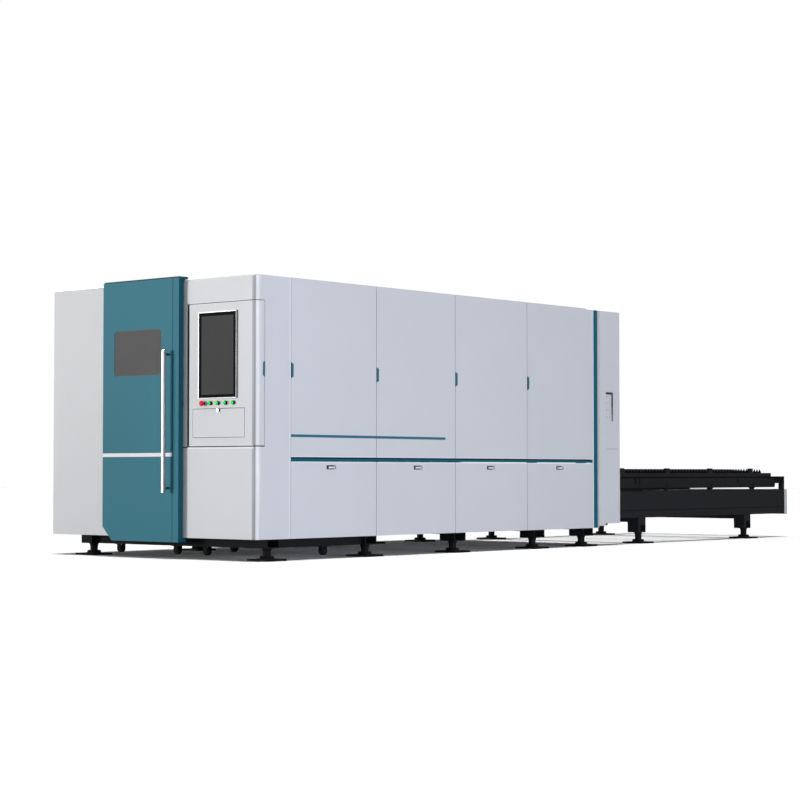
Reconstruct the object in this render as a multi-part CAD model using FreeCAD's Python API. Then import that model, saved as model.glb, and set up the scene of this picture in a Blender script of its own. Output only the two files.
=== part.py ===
import FreeCAD, Part
import math
import os

# Enclosed sheet cutting machine with an exchange table, in millimetres.
# While it is laid out, X = 0 is the front wall, Y = 0 the long side with the drawers and
# Z = 0 the floor.  At the end every piece moves so that the origin is on the floor, below
# the middle of the whole machine.

Vector = FreeCAD.Vector

# ---------------------------------------------------------------- enclosure sizes
front_seam_x = 368.0
side_door_pitches = (993.0, 1005.0, 1001.0, 995.0)
end_module_length = 431.0
enclosure_width = 2349.0
panel_bottom = 164.0
enclosure_height = 2000.0
roof_cap_height = 8.0
roof_cap_inset = 10.0
roof_cap_gap = 0.8
roof_cap_end_inset = 88.0
panel_gap = 2.0
sheet = 3.0
cut_margin = 1.0
seam_depth = 1.5
seam_width = 3.0
panel_depth = 30.0
door_depth = 25.0
corner_radius = 45.0
drawer_front_height = 592.0
side_rail_height = 30.0
side_rail_recess = 5.0
frame_tube = 50.0
frame_wall = 4.0

# ---------------------------------------------------------------- operator cabinet
console_hinge_y = 753.0
console_slot = 16.0
console_top_drop = 196.0
console_bottom_margin = 68.0
console_side_reach = 80.0
console_gap = 4.0
cabinet_edge_gap = 77.0
doorway_post_inset = 35.0
monitor_size = (417.0, 667.0)
monitor_insets = (126.0, 66.0)
monitor_proud = 12.0
monitor_back = 50.0
monitor_rim = 7.0
monitor_lip = 4.0
monitor_fit = 2.0
screen_recess = 2.0
screen_thickness = 4.0
button_drop = 35.0
button_count = 4
button_pitch = 83.0
button_inset = 254.0
stop_inset = 180.0
button_radius = 12.5
button_proud = 22.0
button_stem = 12.0
button_round = 2.0
stop_radius = 21.0
stop_proud = 34.0
stop_travel = 6.0
stop_round = 6.0
stop_stem_radius = 9.5
stop_head_gap = 2.0
collar_wall = 3.0
collar_proud = 14.0
collar_sleeve = 6.0
collar_sleeve_wall = 2.0
button_clearance = 0.3
flap_size = (565.0, 224.0)
flap_inset = 57.0
flap_drop = 40.0
flap_gap = 3.5
flap_depth = 18.0
lock_inset = 342.0
lock_below_edge = 14.0
lock_radius = 13.0
lock_proud = 14.0
lock_slot_width = 3.0
lock_slot_depth = 2.0
lock_stem_radius = 6.6
lock_cam_reach = 30.0
lock_cam_width = 12.0
lock_cam_thickness = 3.0
pull_width = 22.0
pull_height = 120.0
pull_proud = 6.0
pull_drop = 773.0
pull_chamfer = 12.0
console_pull_width = 18.0

# ---------------------------------------------------------------- sliding door
door_front_x = -54.0
door_back_x = -8.0
door_width = 881.0
door_start_gap = 43.0
door_overlap = 244.0
door_rise = 28.0
door_drop = 35.0
door_cut_corner = 110.0
door_top_radius = 25.0
door_travel = 640.0
door_crease_inset = 70.0
door_crease_width = 6.0
hood_reach = 40.0
hood_height = 19.5
underhook_reach = 32.0
underhook_height = 32.0
window_size = (550.0, 358.0)
window_insets = (199.0, 401.0)
window_radius = 34.0
window_glass = 5.0
window_overlap = 12.0
handle_inset = 114.0
handle_standoff = 54.0
handle_radius = 16.0
handle_length = 1107.0
handle_top_drop = 571.0
handle_post_radius = 9.0
handle_post_inset = 34.0
handle_chamfer = 3.0
door_rail_height = 7.0
door_rail_x = (8.0, 28.0)
hanger_length = 100.0
hanger_insets = (60.0, 90.0)
hanger_wing = 3.0
hanger_clearance = 0.5

# ---------------------------------------------------------------- lower drawers
drawer_tray_rise = 12.0
drawer_tray_height = 92.0
drawer_tray_length = 900.0
tray_side_gap = 24.0
finger_slot_offsets = (-37.5, 17.5, -16.5, -13.5)
finger_slot_size = (110.0, 31.0)
finger_slot_drop = 46.0
finger_cup_depth = 20.0

# ---------------------------------------------------------------- rear end module
end_strip_width = 70.0
end_strip_proud = 2.0
recess_strip_width = 41.0
recess_strip_depth = 10.0
end_panel_rise = 17.0
end_panel_step = 20.0
end_panel_step_length = 233.0
control_box_size = (118.0, 271.0)
control_box_inset = 105.0
control_box_drop = 753.0
control_box_depth = 60.0
control_face_depth = 12.0
control_flange = 14.0
control_box_gap = 1.0
control_button_radius = 9.0
control_button_proud = 8.0
control_column_inset = 31.0
control_column_pitch = 49.0
control_row_rise = 43.0
control_row_pitch = 62.0
control_top_button_drop = 46.0
portal_side_gap = 12.0
portal_bottom_drop = 51.0
portal_rise = 157.0
access_seam_length = 170.0
access_seam_inset = 37.0
access_seam_rise = 722.0

# ---------------------------------------------------------------- bed
far_aisle = 352.0
tube_width = 136.0
tube_height = 69.0
tube_wall = 8.0
tube_near_y = 3.0
tube_far_inset = 290.0
cross_tube_offsets = (-187.0, -62.0, 45.0, 159.0, -94.0)
cross_tube_full_count = 2
foot_bracket_width = 150.0
foot_bracket_shift = 20.0
foot_bracket_length = 162.0
cross_flat_thickness = 12.0
bed_wall_y = (35.0, 105.0)
bed_post_width = 60.0
bed_beam_height = 120.0
bed_beam_top = 900.0
bed_beam_inner_y = 185.0
stub_width = 60.0
stub_near_y = 80.0
stub_middle_y = 1044.0
stub_far_inset = 378.0
corner_foot_offset = 56.0
corner_bracket_length = 128.0
runner_y = (200.0, 880.0)
runner_width = 60.0
runner_thickness = 10.0
gantry_rail_y = 150.0
gantry_rail_size = 20.0
rack_gap = 5.0

# ---------------------------------------------------------------- feet and casters
near_foot_y = 70.0
far_foot_inset = 368.0
foot_plate = 213.0
foot_plate_thickness = 16.0
foot_hub_radius = 59.0
foot_hub_top_radius = 52.0
foot_hub_height = 22.0
foot_screw_radius = 31.0
foot_nut_radius = 38.0
foot_nut_low_radius = 33.0
foot_nut_height = 20.0
caster_front_x = 190.0
caster_front_y = (1058.0, 725.0)
caster_far_gap = 207.0
caster_stub_x = 800.0
caster_near_stub_x = 815.0
caster_floor_gap = 25.0
caster_radius = 31.0
caster_width = 40.0
caster_rim_round = 4.0
caster_plate = (80.0, 60.0)
caster_arm_radius = 21.7
caster_fork_gap = 1.5
caster_fork_thickness = 5.0
caster_axle_radius = 6.0
caster_axle_clearance = 0.05

# ---------------------------------------------------------------- cabinets inside
cabinet_clearance = 45.0
electrical_height = 1000.0
laser_height = 886.0
laser_gap = 10.0

# ---------------------------------------------------------------- gantry
gantry_park_x = 620.0
gantry_section = (240.0, 220.0)
gantry_lift = 60.0
gantry_truck_length = 400.0
gantry_truck_width = 80.0
gantry_clearance = 0.5
carriage_width = 260.0
carriage_depth = 60.0
carriage_height = 320.0
carriage_drop = 20.0
head_size = (85.0, 90.0)
head_height = 415.0
head_drop = 55.0
nozzle_length = 35.0
nozzle_radii = (16.0, 4.0)
nozzle_bore = 1.5

# ---------------------------------------------------------------- exchange table
table_gap = 12.0
table_length = 3107.0
table_side_y = 60.0
table_beam_width = 60.0
table_beam_z = (242.0, 497.0)
table_fold_z = 313.0
table_fold_step = 5.0
table_fold_drop = 4.0
table_wall = 6.0
table_foot_insets = (460.0, 730.0)
table_foot_y = 117.0
leg_size = (124.0, 122.0)
leg_shift = 24.0
leg_bottom = 103.0
leg_wall = 8.0
leg_hole = (80.0, 58.0)
leg_hole_shift = 14.0
leg_hole_rise = 12.0
cross_beam_drop = 42.0
table_cross_width = 50.0
table_bracket_width = 40.0
end_post_size = (46.0, 45.0)
end_post_height = 60.0
end_bar_height = 72.0
end_panel_depth = 54.0
end_panel_drop = 6.0
end_panel_top_drop = 2.0
track_width = 40.0
track_thickness = 12.0
track_start_inset = 78.0
track_bracket_height = 20.0

# ---------------------------------------------------------------- pallets
pallet_length = 3500.0
pallet_end_gap = 70.0
pallet_side_y = 120.0
pallet_beam_height = 97.0
pallet_groove_height = 14.0
pallet_groove_depth = 8.0
pallet_top_beam_height = 37.0
pallet_top_inset = 100.0
pallet_end_slant = 25.0
pallet_beam_width = 50.0
pallet_wall = 6.0
pallet_wheel_radius = 53.0
pallet_wheel_width = 30.0
pallet_wheel_inset = 446.0
pallet_wheel_pitch = 808.0
pallet_wheel_count = 4
pallet_wheel_drop = 34.0
pallet_wheel_gap = 4.0
pallet_wheel_slot_gap = 3.0
pallet_axle_radius = 10.0
axle_boss_radius = 14.0
axle_boss_length = 8.0
pallet_cross_count = 5
pallet_cross_size = 60.0
pallet_cross_rise = 24.0
pallet_travel = 4040.0
wheel_guard_length = 1910.0
wheel_guard_thickness = 5.0
wheel_guard_drop = 16.0
wheel_clearance = 0.4
slat_pitch = 53.0
slat_count = 55
slat_end_inset = 257.0
slat_thickness = 4.0
slat_height = 39.0
slat_depth = 44.0
slat_teeth = 16
slat_tooth_height = 14.0
slat_inset = 27.0
slat_side_gap = 4.0
block_inset = 497.0
block_pitch = 779.0
block_count = 4
block_size = (68.0, 24.0)
block_rise = 7.0
lower_pallet_drop = 200.0
lower_pallet_inset = 70.0

# ---------------------------------------------------------------- plain shapes


def block(x, y, z):
    """A box between three pairs of limits."""
    return Part.makeBox(x[1] - x[0], y[1] - y[0], z[1] - z[0], Vector(x[0], y[0], z[0]))


def grown(pair, amount):
    return (pair[0] - amount, pair[1] + amount)


def across(middle, width):
    return (middle - width / 2, middle + width / 2)


def far_side(pair):
    """The same limits mirrored about the middle of the bed."""
    return (2 * centre_y - pair[1], 2 * centre_y - pair[0])


def rod(radius, start, direction, length):
    return Part.makeCylinder(radius, length, Vector(*start), Vector(*direction))


def ring(outer, inner, start, direction, length):
    return rod(outer, start, direction, length).cut(rod(inner, start, direction, length))


def box_tube(x, y, z, along, wall):
    """A rectangular tube that is open at both ends of the axis named by along."""
    inner = [grown(pair, -wall) for pair in (x, y, z)]
    index = "xyz".index(along)
    inner[index] = (x, y, z)[index]
    return block(x, y, z).cut(block(*inner))


def tray(x, y, z, open_side, wall=sheet):
    """A folded pan: five walls, and no wall on the side named by open_side, such as "+y"."""
    inner = [grown(pair, -wall) for pair in (x, y, z)]
    index = "xyz".index(open_side[1])
    low, high = inner[index]
    full = (x, y, z)[index]
    inner[index] = (full[0], high) if open_side[0] == "-" else (low, full[1])
    return block(x, y, z).cut(block(*inner))


def plate_yz(points, x):
    """A flat plate with an outline in Y and Z, between two values of X."""
    wire = Part.makePolygon([Vector(x[0], y, z) for y, z in points + points[:1]])
    return Part.Face(wire).extrude(Vector(x[1] - x[0], 0, 0))


def door_pull(seam_x, reach):
    """A grip beside a seam, with its outer corners cut, that stands out of the long side."""
    low, high, outer_x = pull_bottom, pull_bottom + pull_height, seam_x + reach
    points = [(seam_x, low), (outer_x, low + pull_chamfer), (outer_x, high - pull_chamfer), (seam_x, high)]
    wire = Part.makePolygon([Vector(x, -pull_proud, z) for x, z in points + points[:1]])
    return Part.Face(wire).extrude(Vector(0, pull_proud, 0))


def rounded_opening(x, y, z, radius):
    solid = block(x, y, z)
    edges = [edge for edge in solid.Edges if abs(edge.tangentAt(edge.FirstParameter).x) > 0.9]
    return solid.makeFillet(radius, edges)


def joined(shapes):
    solid = shapes[0].fuse(shapes[1:])
    return solid.removeSplitter()


def group(shapes):
    return Part.makeCompound(shapes)


def corner_band(end_y, end_x, inner, outer, z):
    """A wall that follows the rounded front corner, between two depths below its skin."""
    radius_in = corner_radius - inner
    radius_out = corner_radius - outer
    middle = Vector(corner_radius, corner_radius, z[0])
    skin_in = rounded_edge(middle, radius_in)
    skin_out = rounded_edge(middle, radius_out)
    start_in, end_in = Vector(inner, end_y, z[0]), Vector(end_x, inner, z[0])
    start_out, end_out = Vector(outer, end_y, z[0]), Vector(end_x, outer, z[0])
    edges = [
        Part.makeLine(start_in, skin_in[0]),
        skin_in[1],
        Part.makeLine(skin_in[2], end_in),
        Part.makeLine(end_in, end_out),
        Part.makeLine(end_out, skin_out[2]),
        skin_out[1],
        Part.makeLine(skin_out[0], start_out),
        Part.makeLine(start_out, start_in),
    ]
    face = Part.Face(Part.Wire(Part.__sortEdges__(edges)))
    return face.extrude(Vector(0, 0, z[1] - z[0]))


def rounded_edge(middle, radius):
    """A quarter arc from the front skin to the side skin, with both of its ends."""
    start = middle + Vector(-radius, 0, 0)
    half = middle + Vector(-radius, -radius, 0).normalize() * radius
    end = middle + Vector(0, -radius, 0)
    return start, Part.Arc(start, half, end).toShape(), end


parts = {}

# ---------------------------------------------------------------- worked-out lengths
side_seams = [front_seam_x + sum(side_door_pitches[:count]) for count in range(len(side_door_pitches) + 1)]
enclosure_length = side_seams[-1] + end_module_length
cross_tube_x = [seam + offset for seam, offset in zip(side_seams, cross_tube_offsets)]
corner_foot_x = cross_tube_x[0] - corner_foot_offset
bed_beam_end_x = enclosure_length - panel_depth
track_start_x = front_seam_x - track_start_inset
table_start_x = enclosure_length + table_gap
table_end_x = table_start_x + table_length
table_foot_x = (table_start_x + table_foot_insets[0], table_end_x - table_foot_insets[1])
pallet_x = (table_end_x - pallet_end_gap - pallet_length, table_end_x - pallet_end_gap)
pallet_wheel_x = [pallet_x[1] - pallet_wheel_inset - pallet_wheel_pitch * index
                  for index in range(pallet_wheel_count)]
block_x = [pallet_x[1] - block_inset - block_pitch * index for index in range(block_count)]
slat_last_x = pallet_x[1] - slat_end_inset
end_panel_step_x = enclosure_length - end_panel_step_length
control_box_x = (enclosure_length - control_box_inset - control_box_size[0],
                 enclosure_length - control_box_inset)
access_seam_x = (enclosure_length - access_seam_inset - access_seam_length,
                 enclosure_length - access_seam_inset)
gantry_x = (gantry_park_x, gantry_park_x + gantry_section[0])

# ---------------------------------------------------------------- worked-out widths
centre_y = (enclosure_width - far_aisle) / 2
cabinet_edge_y = console_hinge_y + cabinet_edge_gap
monitor_y = (console_hinge_y - monitor_insets[0] - monitor_size[0], console_hinge_y - monitor_insets[0])
button_centres_y = [console_hinge_y - button_inset - button_pitch * index for index in range(button_count)]
stop_centre_y = console_hinge_y - stop_inset
flap_y = (console_hinge_y - flap_inset - flap_size[0], console_hinge_y - flap_inset)
lock_y = console_hinge_y - lock_inset
door_y = (console_hinge_y + door_start_gap, console_hinge_y + door_start_gap + door_width)
front_panel_edge_y = door_y[1] - door_overlap
door_crease_y = door_y[0] + door_crease_inset
window_y = (door_y[0] + window_insets[0], door_y[0] + window_insets[0] + window_size[0])
handle_y = door_y[0] + handle_inset
tube_far_y = enclosure_width - tube_far_inset
corner_bracket_y = tube_far_y - corner_bracket_length
far_foot_y = enclosure_width - far_foot_inset
caster_places = [(caster_front_x, corner_bracket_y - caster_far_gap)]
caster_places += [(caster_front_x, y) for y in caster_front_y]
caster_places += [(caster_stub_x, stub_middle_y), (caster_near_stub_x, stub_near_y)]

# ---------------------------------------------------------------- worked-out levels
roof_top = panel_bottom + enclosure_height
side_rail_bottom = panel_bottom + drawer_front_height
side_rail_top = side_rail_bottom + side_rail_height
console_top = roof_top - console_top_drop
monitor_z = (console_top - monitor_insets[1] - monitor_size[1], console_top - monitor_insets[1])
button_z = monitor_z[0] - button_drop
flap_z = (button_z - flap_drop - flap_size[1], button_z - flap_drop)
console_bottom = flap_z[0] - console_bottom_margin
pull_bottom = roof_top - pull_drop
door_bottom = panel_bottom - door_drop
door_top = roof_top + door_rise
window_z = (door_top - window_insets[1] - window_size[1], door_top - window_insets[1])
handle_z = (door_top - handle_top_drop - handle_length, door_top - handle_top_drop)
drawer_tray_bottom = panel_bottom + drawer_tray_rise
finger_slot_z = side_rail_bottom - finger_slot_drop
end_panel_low = panel_bottom + end_panel_rise
control_box_z = (roof_top - control_box_drop - control_box_size[1], roof_top - control_box_drop)
access_seam_z = panel_bottom + access_seam_rise
bed_beam_z = (bed_beam_top - bed_beam_height, bed_beam_top)
pallet_low_z = table_beam_z[1] + pallet_wheel_radius - pallet_wheel_drop
pallet_top_z = pallet_low_z + pallet_beam_height + pallet_groove_height + pallet_top_beam_height
portal_z = (pallet_low_z - lower_pallet_drop - portal_bottom_drop, pallet_top_z + slat_height + portal_rise)
portal_y = (pallet_side_y - portal_side_gap, 2 * centre_y - pallet_side_y + portal_side_gap)
end_bar_z = (table_beam_z[1] + end_post_height, table_beam_z[1] + end_post_height + end_bar_height)
end_panel_z = (table_beam_z[0] - end_panel_drop, table_beam_z[1] - end_panel_top_drop)
gantry_z = (bed_beam_top + gantry_lift, bed_beam_top + gantry_lift + gantry_section[1])
carriage_z = (gantry_z[0] - carriage_drop, gantry_z[0] - carriage_drop + carriage_height)
head_z = (carriage_z[0] - head_drop, carriage_z[0] - head_drop + head_height)
nozzle_tip_z = head_z[0] - nozzle_length
panel_top = roof_top - roof_cap_height - roof_cap_gap
tube_top = panel_bottom
tube_bottom = tube_top - tube_height
top_rail_z = (panel_top - sheet - frame_tube, panel_top - sheet)
frame_near_y = (bed_wall_y[0], bed_wall_y[0] + frame_tube)
frame_far_y = (enclosure_width - panel_depth - frame_tube, enclosure_width - panel_depth)
frame_front_x = (panel_depth, panel_depth + frame_tube)
frame_rear_x = (enclosure_length - panel_depth - frame_tube, enclosure_length - panel_depth)
track_z = (table_beam_z[1] - track_thickness, table_beam_z[1])
lower_track_z = (track_z[0] - lower_pallet_drop, track_z[1] - lower_pallet_drop)
wheel_middle_y = pallet_side_y + pallet_wall + pallet_wheel_gap + pallet_wheel_width / 2
track_y = across(wheel_middle_y, track_width)
lower_track_y = across(wheel_middle_y + lower_pallet_inset, track_width)
bed_start_x = cross_tube_x[0] - tube_width / 2

# ---------------------------------------------------------------- bed frame
# Straight tubes that butt against each other, welded at the joints. The rear ones are short
# brackets over the feet with a flat bar between them.


def bed_tubes():
    tubes = []
    tube_z = (tube_bottom, tube_top)
    for index, x in enumerate(cross_tube_x[:cross_tube_full_count]):
        end_y = corner_bracket_y if index == 0 else tube_far_y
        tubes.append(box_tube(across(x, tube_width), (tube_near_y, end_y), tube_z, "y", tube_wall))
    for x in cross_tube_x[cross_tube_full_count:]:
        near_y = (tube_near_y, tube_near_y + foot_bracket_length)
        far_y = (tube_far_y - foot_bracket_length, tube_far_y)
        for y in (near_y, far_y):
            tubes.append(box_tube(across(x + foot_bracket_shift, foot_bracket_width), y, tube_z,
                                  "y", tube_wall))
        tubes.append(block(across(x, tube_width), (near_y[1], far_y[0]),
                           (tube_top - cross_flat_thickness, tube_top)))
    corner_x = across(corner_foot_x, tube_width)
    tubes.append(box_tube(corner_x, (corner_bracket_y, tube_far_y), tube_z, "y", tube_wall))
    tubes.append(block(grown(corner_x, -tube_wall), (tube_far_y - tube_wall, tube_far_y),
                       grown(tube_z, -tube_wall)))
    stub_x = (cross_tube_x[0] + tube_width / 2, cross_tube_x[1] - tube_width / 2)
    for y in (stub_near_y, stub_middle_y):
        tubes.append(box_tube(stub_x, across(y, stub_width), (tube_bottom, tube_top), "x", tube_wall))
    far_stub_x = (corner_foot_x + tube_width / 2, stub_x[1])
    tubes.append(box_tube(far_stub_x, across(enclosure_width - stub_far_inset, stub_width),
                          (tube_bottom, tube_top), "x", tube_wall))
    return tubes


def bed_walls():
    pieces = []
    beam_x = (bed_start_x, bed_beam_end_x)
    beam_y = (bed_wall_y[0], bed_beam_inner_y)
    for y in (beam_y, far_side(beam_y)):
        pieces.append(box_tube(beam_x, y, bed_beam_z, "x", tube_wall))
    for x in cross_tube_x:
        post_x = across(x, bed_post_width)
        for y in (bed_wall_y, far_side(bed_wall_y)):
            pieces.append(box_tube(post_x, y, (tube_top, bed_beam_z[0]), "z", tube_wall))
        upper_y = (bed_wall_y[1], track_y[1])
        lower_y = (bed_wall_y[1], lower_track_y[1])
        upper_z = (track_z[0] - track_bracket_height, track_z[0])
        lower_z = (lower_track_z[0] - track_thickness, lower_track_z[0])
        for y, z in ((upper_y, upper_z), (lower_y, lower_z)):
            pieces.append(block(post_x, y, z))
            pieces.append(block(post_x, far_side(y), z))
    return pieces


def drawer_runners():
    x = (bed_start_x, cross_tube_x[-1] + tube_width / 2)
    z = (tube_top, tube_top + runner_thickness)
    return [block(x, across(y, runner_width), z) for y in runner_y]


parts["bed_frame"] = group(bed_tubes() + bed_walls() + drawer_runners())

rail_x = (track_start_x, bed_beam_end_x)
rail_y = across(gantry_rail_y, gantry_rail_size)
rail_z = (bed_beam_z[1], bed_beam_z[1] + gantry_rail_size)
parts["gantry_rails"] = group([block(rail_x, y, rail_z) for y in (rail_y, far_side(rail_y))])

rack_y = (rail_y[0] - rack_gap - gantry_rail_size, rail_y[0] - rack_gap)
parts["gear_racks"] = group([block(rail_x, y, rail_z) for y in (rack_y, far_side(rack_y))])


def track_bars(x):
    bars = []
    for y, z in ((track_y, track_z), (lower_track_y, lower_track_z)):
        bars.append(block(x, y, z))
        bars.append(block(x, far_side(y), z))
    return bars


parts["pallet_tracks"] = group(track_bars((track_start_x, bed_beam_end_x)))

# ---------------------------------------------------------------- levelling feet
machine_feet = [(x, near_foot_y, tube_bottom) for x in cross_tube_x]
machine_feet += [(corner_foot_x, far_foot_y, tube_bottom)]
machine_feet += [(x, far_foot_y, tube_bottom) for x in cross_tube_x[1:]]
table_feet = [(x, y, leg_bottom) for x in table_foot_x
              for y in (table_foot_y, 2 * centre_y - table_foot_y)]
feet = machine_feet + table_feet


def foot_base(x, y):
    plate = block(across(x, foot_plate), across(y, foot_plate), (0, foot_plate_thickness))
    hub = Part.makeCone(foot_hub_radius, foot_hub_top_radius, foot_hub_height,
                        Vector(x, y, foot_plate_thickness))
    return joined([plate, hub])


def foot_screw(x, y, top):
    start = foot_plate_thickness + foot_hub_height
    return rod(foot_screw_radius, (x, y, start), (0, 0, 1), top - foot_nut_height - start)


def foot_nut(x, y, top):
    return Part.makeCone(foot_nut_low_radius, foot_nut_radius, foot_nut_height,
                         Vector(x, y, top - foot_nut_height))


parts["foot_bases"] = group([foot_base(x, y) for x, y, top in feet])
parts["foot_screws"] = group([foot_screw(x, y, top) for x, y, top in feet])
parts["foot_nuts"] = group([foot_nut(x, y, top) for x, y, top in feet])

# ---------------------------------------------------------------- casters
caster_axle_z = caster_floor_gap + caster_radius


def caster_fork(x, y):
    inside = caster_width / 2 + caster_fork_gap
    outside = inside + caster_fork_thickness
    plate_z = (tube_bottom - caster_fork_thickness, tube_bottom)
    pieces = [block(across(x, caster_plate[0]), across(y, caster_plate[1]), plate_z)]
    for low, high in ((-outside, -inside), (inside, outside)):
        arm_x = (x + low, x + high)
        arm_z = (caster_axle_z, plate_z[0])
        pieces.append(block(arm_x, across(y, 2 * caster_arm_radius), arm_z))
        pieces.append(rod(caster_arm_radius, (arm_x[0], y, caster_axle_z), (1, 0, 0),
                          caster_fork_thickness))
    pieces.append(rod(caster_axle_radius, (x - outside, y, caster_axle_z), (1, 0, 0), 2 * outside))
    return joined(pieces)


def caster_wheel(x, y):
    bore = caster_axle_radius + caster_axle_clearance
    wheel = ring(caster_radius, bore, (x - caster_width / 2, y, caster_axle_z), (1, 0, 0), caster_width)
    rims = [edge for edge in wheel.Edges
            if len(edge.Vertexes) == 1 and edge.BoundBox.ZLength > caster_radius]
    return wheel.makeFillet(caster_rim_round, rims)


parts["caster_forks"] = group([caster_fork(x, y) for x, y in caster_places])
for number, (x, y) in enumerate(caster_places, 1):
    parts["caster_wheel_%d" % number] = caster_wheel(x, y)

# ---------------------------------------------------------------- enclosure frame


def upright(x, y, z):
    return box_tube(x, y, z, "z", frame_wall)


def frame_tubes():
    long_x = (frame_front_x[0], frame_rear_x[1])
    cross_y = (frame_near_y[1], frame_far_y[0])
    base_z = (tube_top, tube_top + frame_tube)
    near_z = (bed_beam_z[1], top_rail_z[0])
    far_z = (base_z[1], top_rail_z[0])
    tubes = [
        box_tube((corner_radius, long_x[1]), frame_near_y, top_rail_z, "x", frame_wall),
        box_tube(long_x, frame_far_y, top_rail_z, "x", frame_wall),
        box_tube(long_x, frame_far_y, base_z, "x", frame_wall),
        box_tube(frame_front_x, cross_y, top_rail_z, "y", frame_wall),
        box_tube(frame_rear_x, cross_y, top_rail_z, "y", frame_wall),
    ]
    corner_x = (bed_start_x, bed_start_x + frame_tube)
    tubes.append(upright(corner_x, frame_near_y, near_z))
    tubes.append(upright(frame_rear_x, frame_near_y, near_z))
    for seam in side_seams:
        tubes.append(upright(across(seam, frame_tube), frame_near_y, near_z))
        tubes.append(box_tube(across(seam, frame_tube), cross_y, top_rail_z, "y", frame_wall))
        tubes.append(upright(across(seam, frame_tube), frame_far_y, far_z))
    tubes.append(upright(frame_front_x, frame_far_y, far_z))
    tubes.append(upright(frame_rear_x, frame_far_y, far_z))
    front_posts = (across(cabinet_edge_y - doorway_post_inset, frame_tube),
                   across(front_panel_edge_y + doorway_post_inset, frame_tube))
    tubes.append(box_tube(frame_front_x, (front_posts[0][0], cross_y[1]), base_z, "y", frame_wall))
    for y in front_posts:
        tubes.append(upright(frame_front_x, y, (base_z[1], top_rail_z[0])))
        tubes.append(box_tube((frame_front_x[1], cross_tube_x[0]), y, base_z, "x", frame_wall))
    for x in cross_tube_x[1:]:
        y = (far_side(bed_wall_y)[1], frame_far_y[0])
        tubes.append(box_tube(across(x, frame_tube), y, base_z, "y", frame_wall))
    return tubes


parts["enclosure_frame"] = group(frame_tubes())

# ---------------------------------------------------------------- fixed panels
front_panel_y = (front_panel_edge_y, enclosure_width)
parts["front_left_panel"] = tray((0, panel_depth), front_panel_y, (panel_bottom, panel_top), "+x")

cabinet_edge_x = side_seams[0] - panel_gap


def cabinet_shell():
    z = (panel_bottom, panel_top)
    skin = corner_band(cabinet_edge_y, cabinet_edge_x, 0, panel_depth, z)
    hollow = corner_band(cabinet_edge_y - sheet, cabinet_edge_x - sheet, sheet,
                         panel_depth + cut_margin, grown(z, -sheet))
    doorway_z = grown((console_bottom, console_top), console_gap)
    doorway = corner_band(console_hinge_y, console_side_reach + console_gap, -cut_margin,
                          panel_depth + cut_margin, doorway_z)
    seam = block((-cut_margin, seam_depth), (console_hinge_y, cabinet_edge_y + cut_margin),
                 (doorway_z[0], console_bottom))
    return skin.cut(hollow).cut(doorway).cut(seam)


parts["operator_cabinet_shell"] = cabinet_shell()


def roof():
    """A shallow cap set in from the walls, on ribs, and a lower lid over the rear module."""
    cap_x = (roof_cap_inset, side_seams[-1] - roof_cap_end_inset)
    cap_y = (roof_cap_inset, enclosure_width - roof_cap_inset)
    cap_z = (roof_top - roof_cap_height, roof_top)
    lid_y = grown((0, enclosure_width), -(panel_depth + panel_gap))
    lid_z = (panel_top - sheet, panel_top)
    near_radius = corner_radius - roof_cap_inset

    def front_corner(solid, radius):
        places = [edge for edge in solid.Edges if edge.BoundBox.ZLength > sheet
                  and edge.BoundBox.XMax < corner_radius and edge.BoundBox.YMax < corner_radius]
        return solid.makeFillet(radius, places)

    outer = front_corner(block(cap_x, cap_y, cap_z), near_radius)
    inner = block(grown(cap_x, -sheet), grown(cap_y, -sheet), (cap_z[0] - cut_margin, cap_z[1] - sheet))
    pieces = [outer.cut(front_corner(inner, near_radius - sheet))]
    pieces.append(block((cap_x[1] - sheet, cap_x[1]), lid_y, (lid_z[0], cap_z[1])))
    pieces.append(block((cap_x[1] - sheet, enclosure_length - panel_depth - panel_gap), lid_y, lid_z))
    rib_y = (frame_near_y[1], frame_far_y[0])
    for seam in side_seams[:-1]:
        pieces.append(block(across(seam, frame_tube), rib_y, (lid_z[0], cap_z[1] - sheet)))
    return joined(pieces)


parts["roof_panel"] = roof()

far_panel_x = (panel_depth + panel_gap, enclosure_length)
parts["far_side_panel"] = tray(far_panel_x, (enclosure_width - panel_depth, enclosure_width),
                               (panel_bottom, panel_top), "-y")


def rear_wall():
    x = (enclosure_length - panel_depth, enclosure_length)
    y = (panel_depth + panel_gap, enclosure_width - panel_depth - panel_gap)
    wall = tray(x, y, (end_panel_low + end_panel_step, panel_top), "-x")
    return wall.cut(block(grown(x, cut_margin), portal_y, portal_z))


parts["rear_portal_panel"] = rear_wall()

strip_x = (side_seams[-1] + panel_gap / 2, side_seams[-1] + end_strip_width)
parts["corner_strip"] = tray(strip_x, (-end_strip_proud, panel_depth), (panel_bottom, panel_top), "+y")

end_panel_x = (strip_x[1] + panel_gap / 2, enclosure_length)


def end_side_panel():
    step_x = strip_x[1] + recess_strip_width
    deep = tray((end_panel_x[0], step_x), (recess_strip_depth, panel_depth),
                (panel_bottom, panel_top), "+y")
    main = tray((step_x, end_panel_x[1]), (0, panel_depth), (end_panel_low, panel_top), "+y")
    low_corner = block((end_panel_step_x, end_panel_x[1] + cut_margin),
                       (-cut_margin, panel_depth + cut_margin),
                       (end_panel_low - cut_margin, end_panel_low + end_panel_step))
    floor_z = end_panel_low + end_panel_step
    floor_strip = block((end_panel_step_x, end_panel_x[1]), (0, panel_depth), (floor_z, floor_z + sheet))
    opening = block(control_box_x, (-cut_margin, sheet + cut_margin), control_box_z)
    seam = block(access_seam_x, (-cut_margin, seam_depth), across(access_seam_z, seam_width))
    panel = joined([deep, main.cut(low_corner), floor_strip])
    return panel.cut(opening).cut(seam)


parts["end_side_panel"] = end_side_panel()


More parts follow.
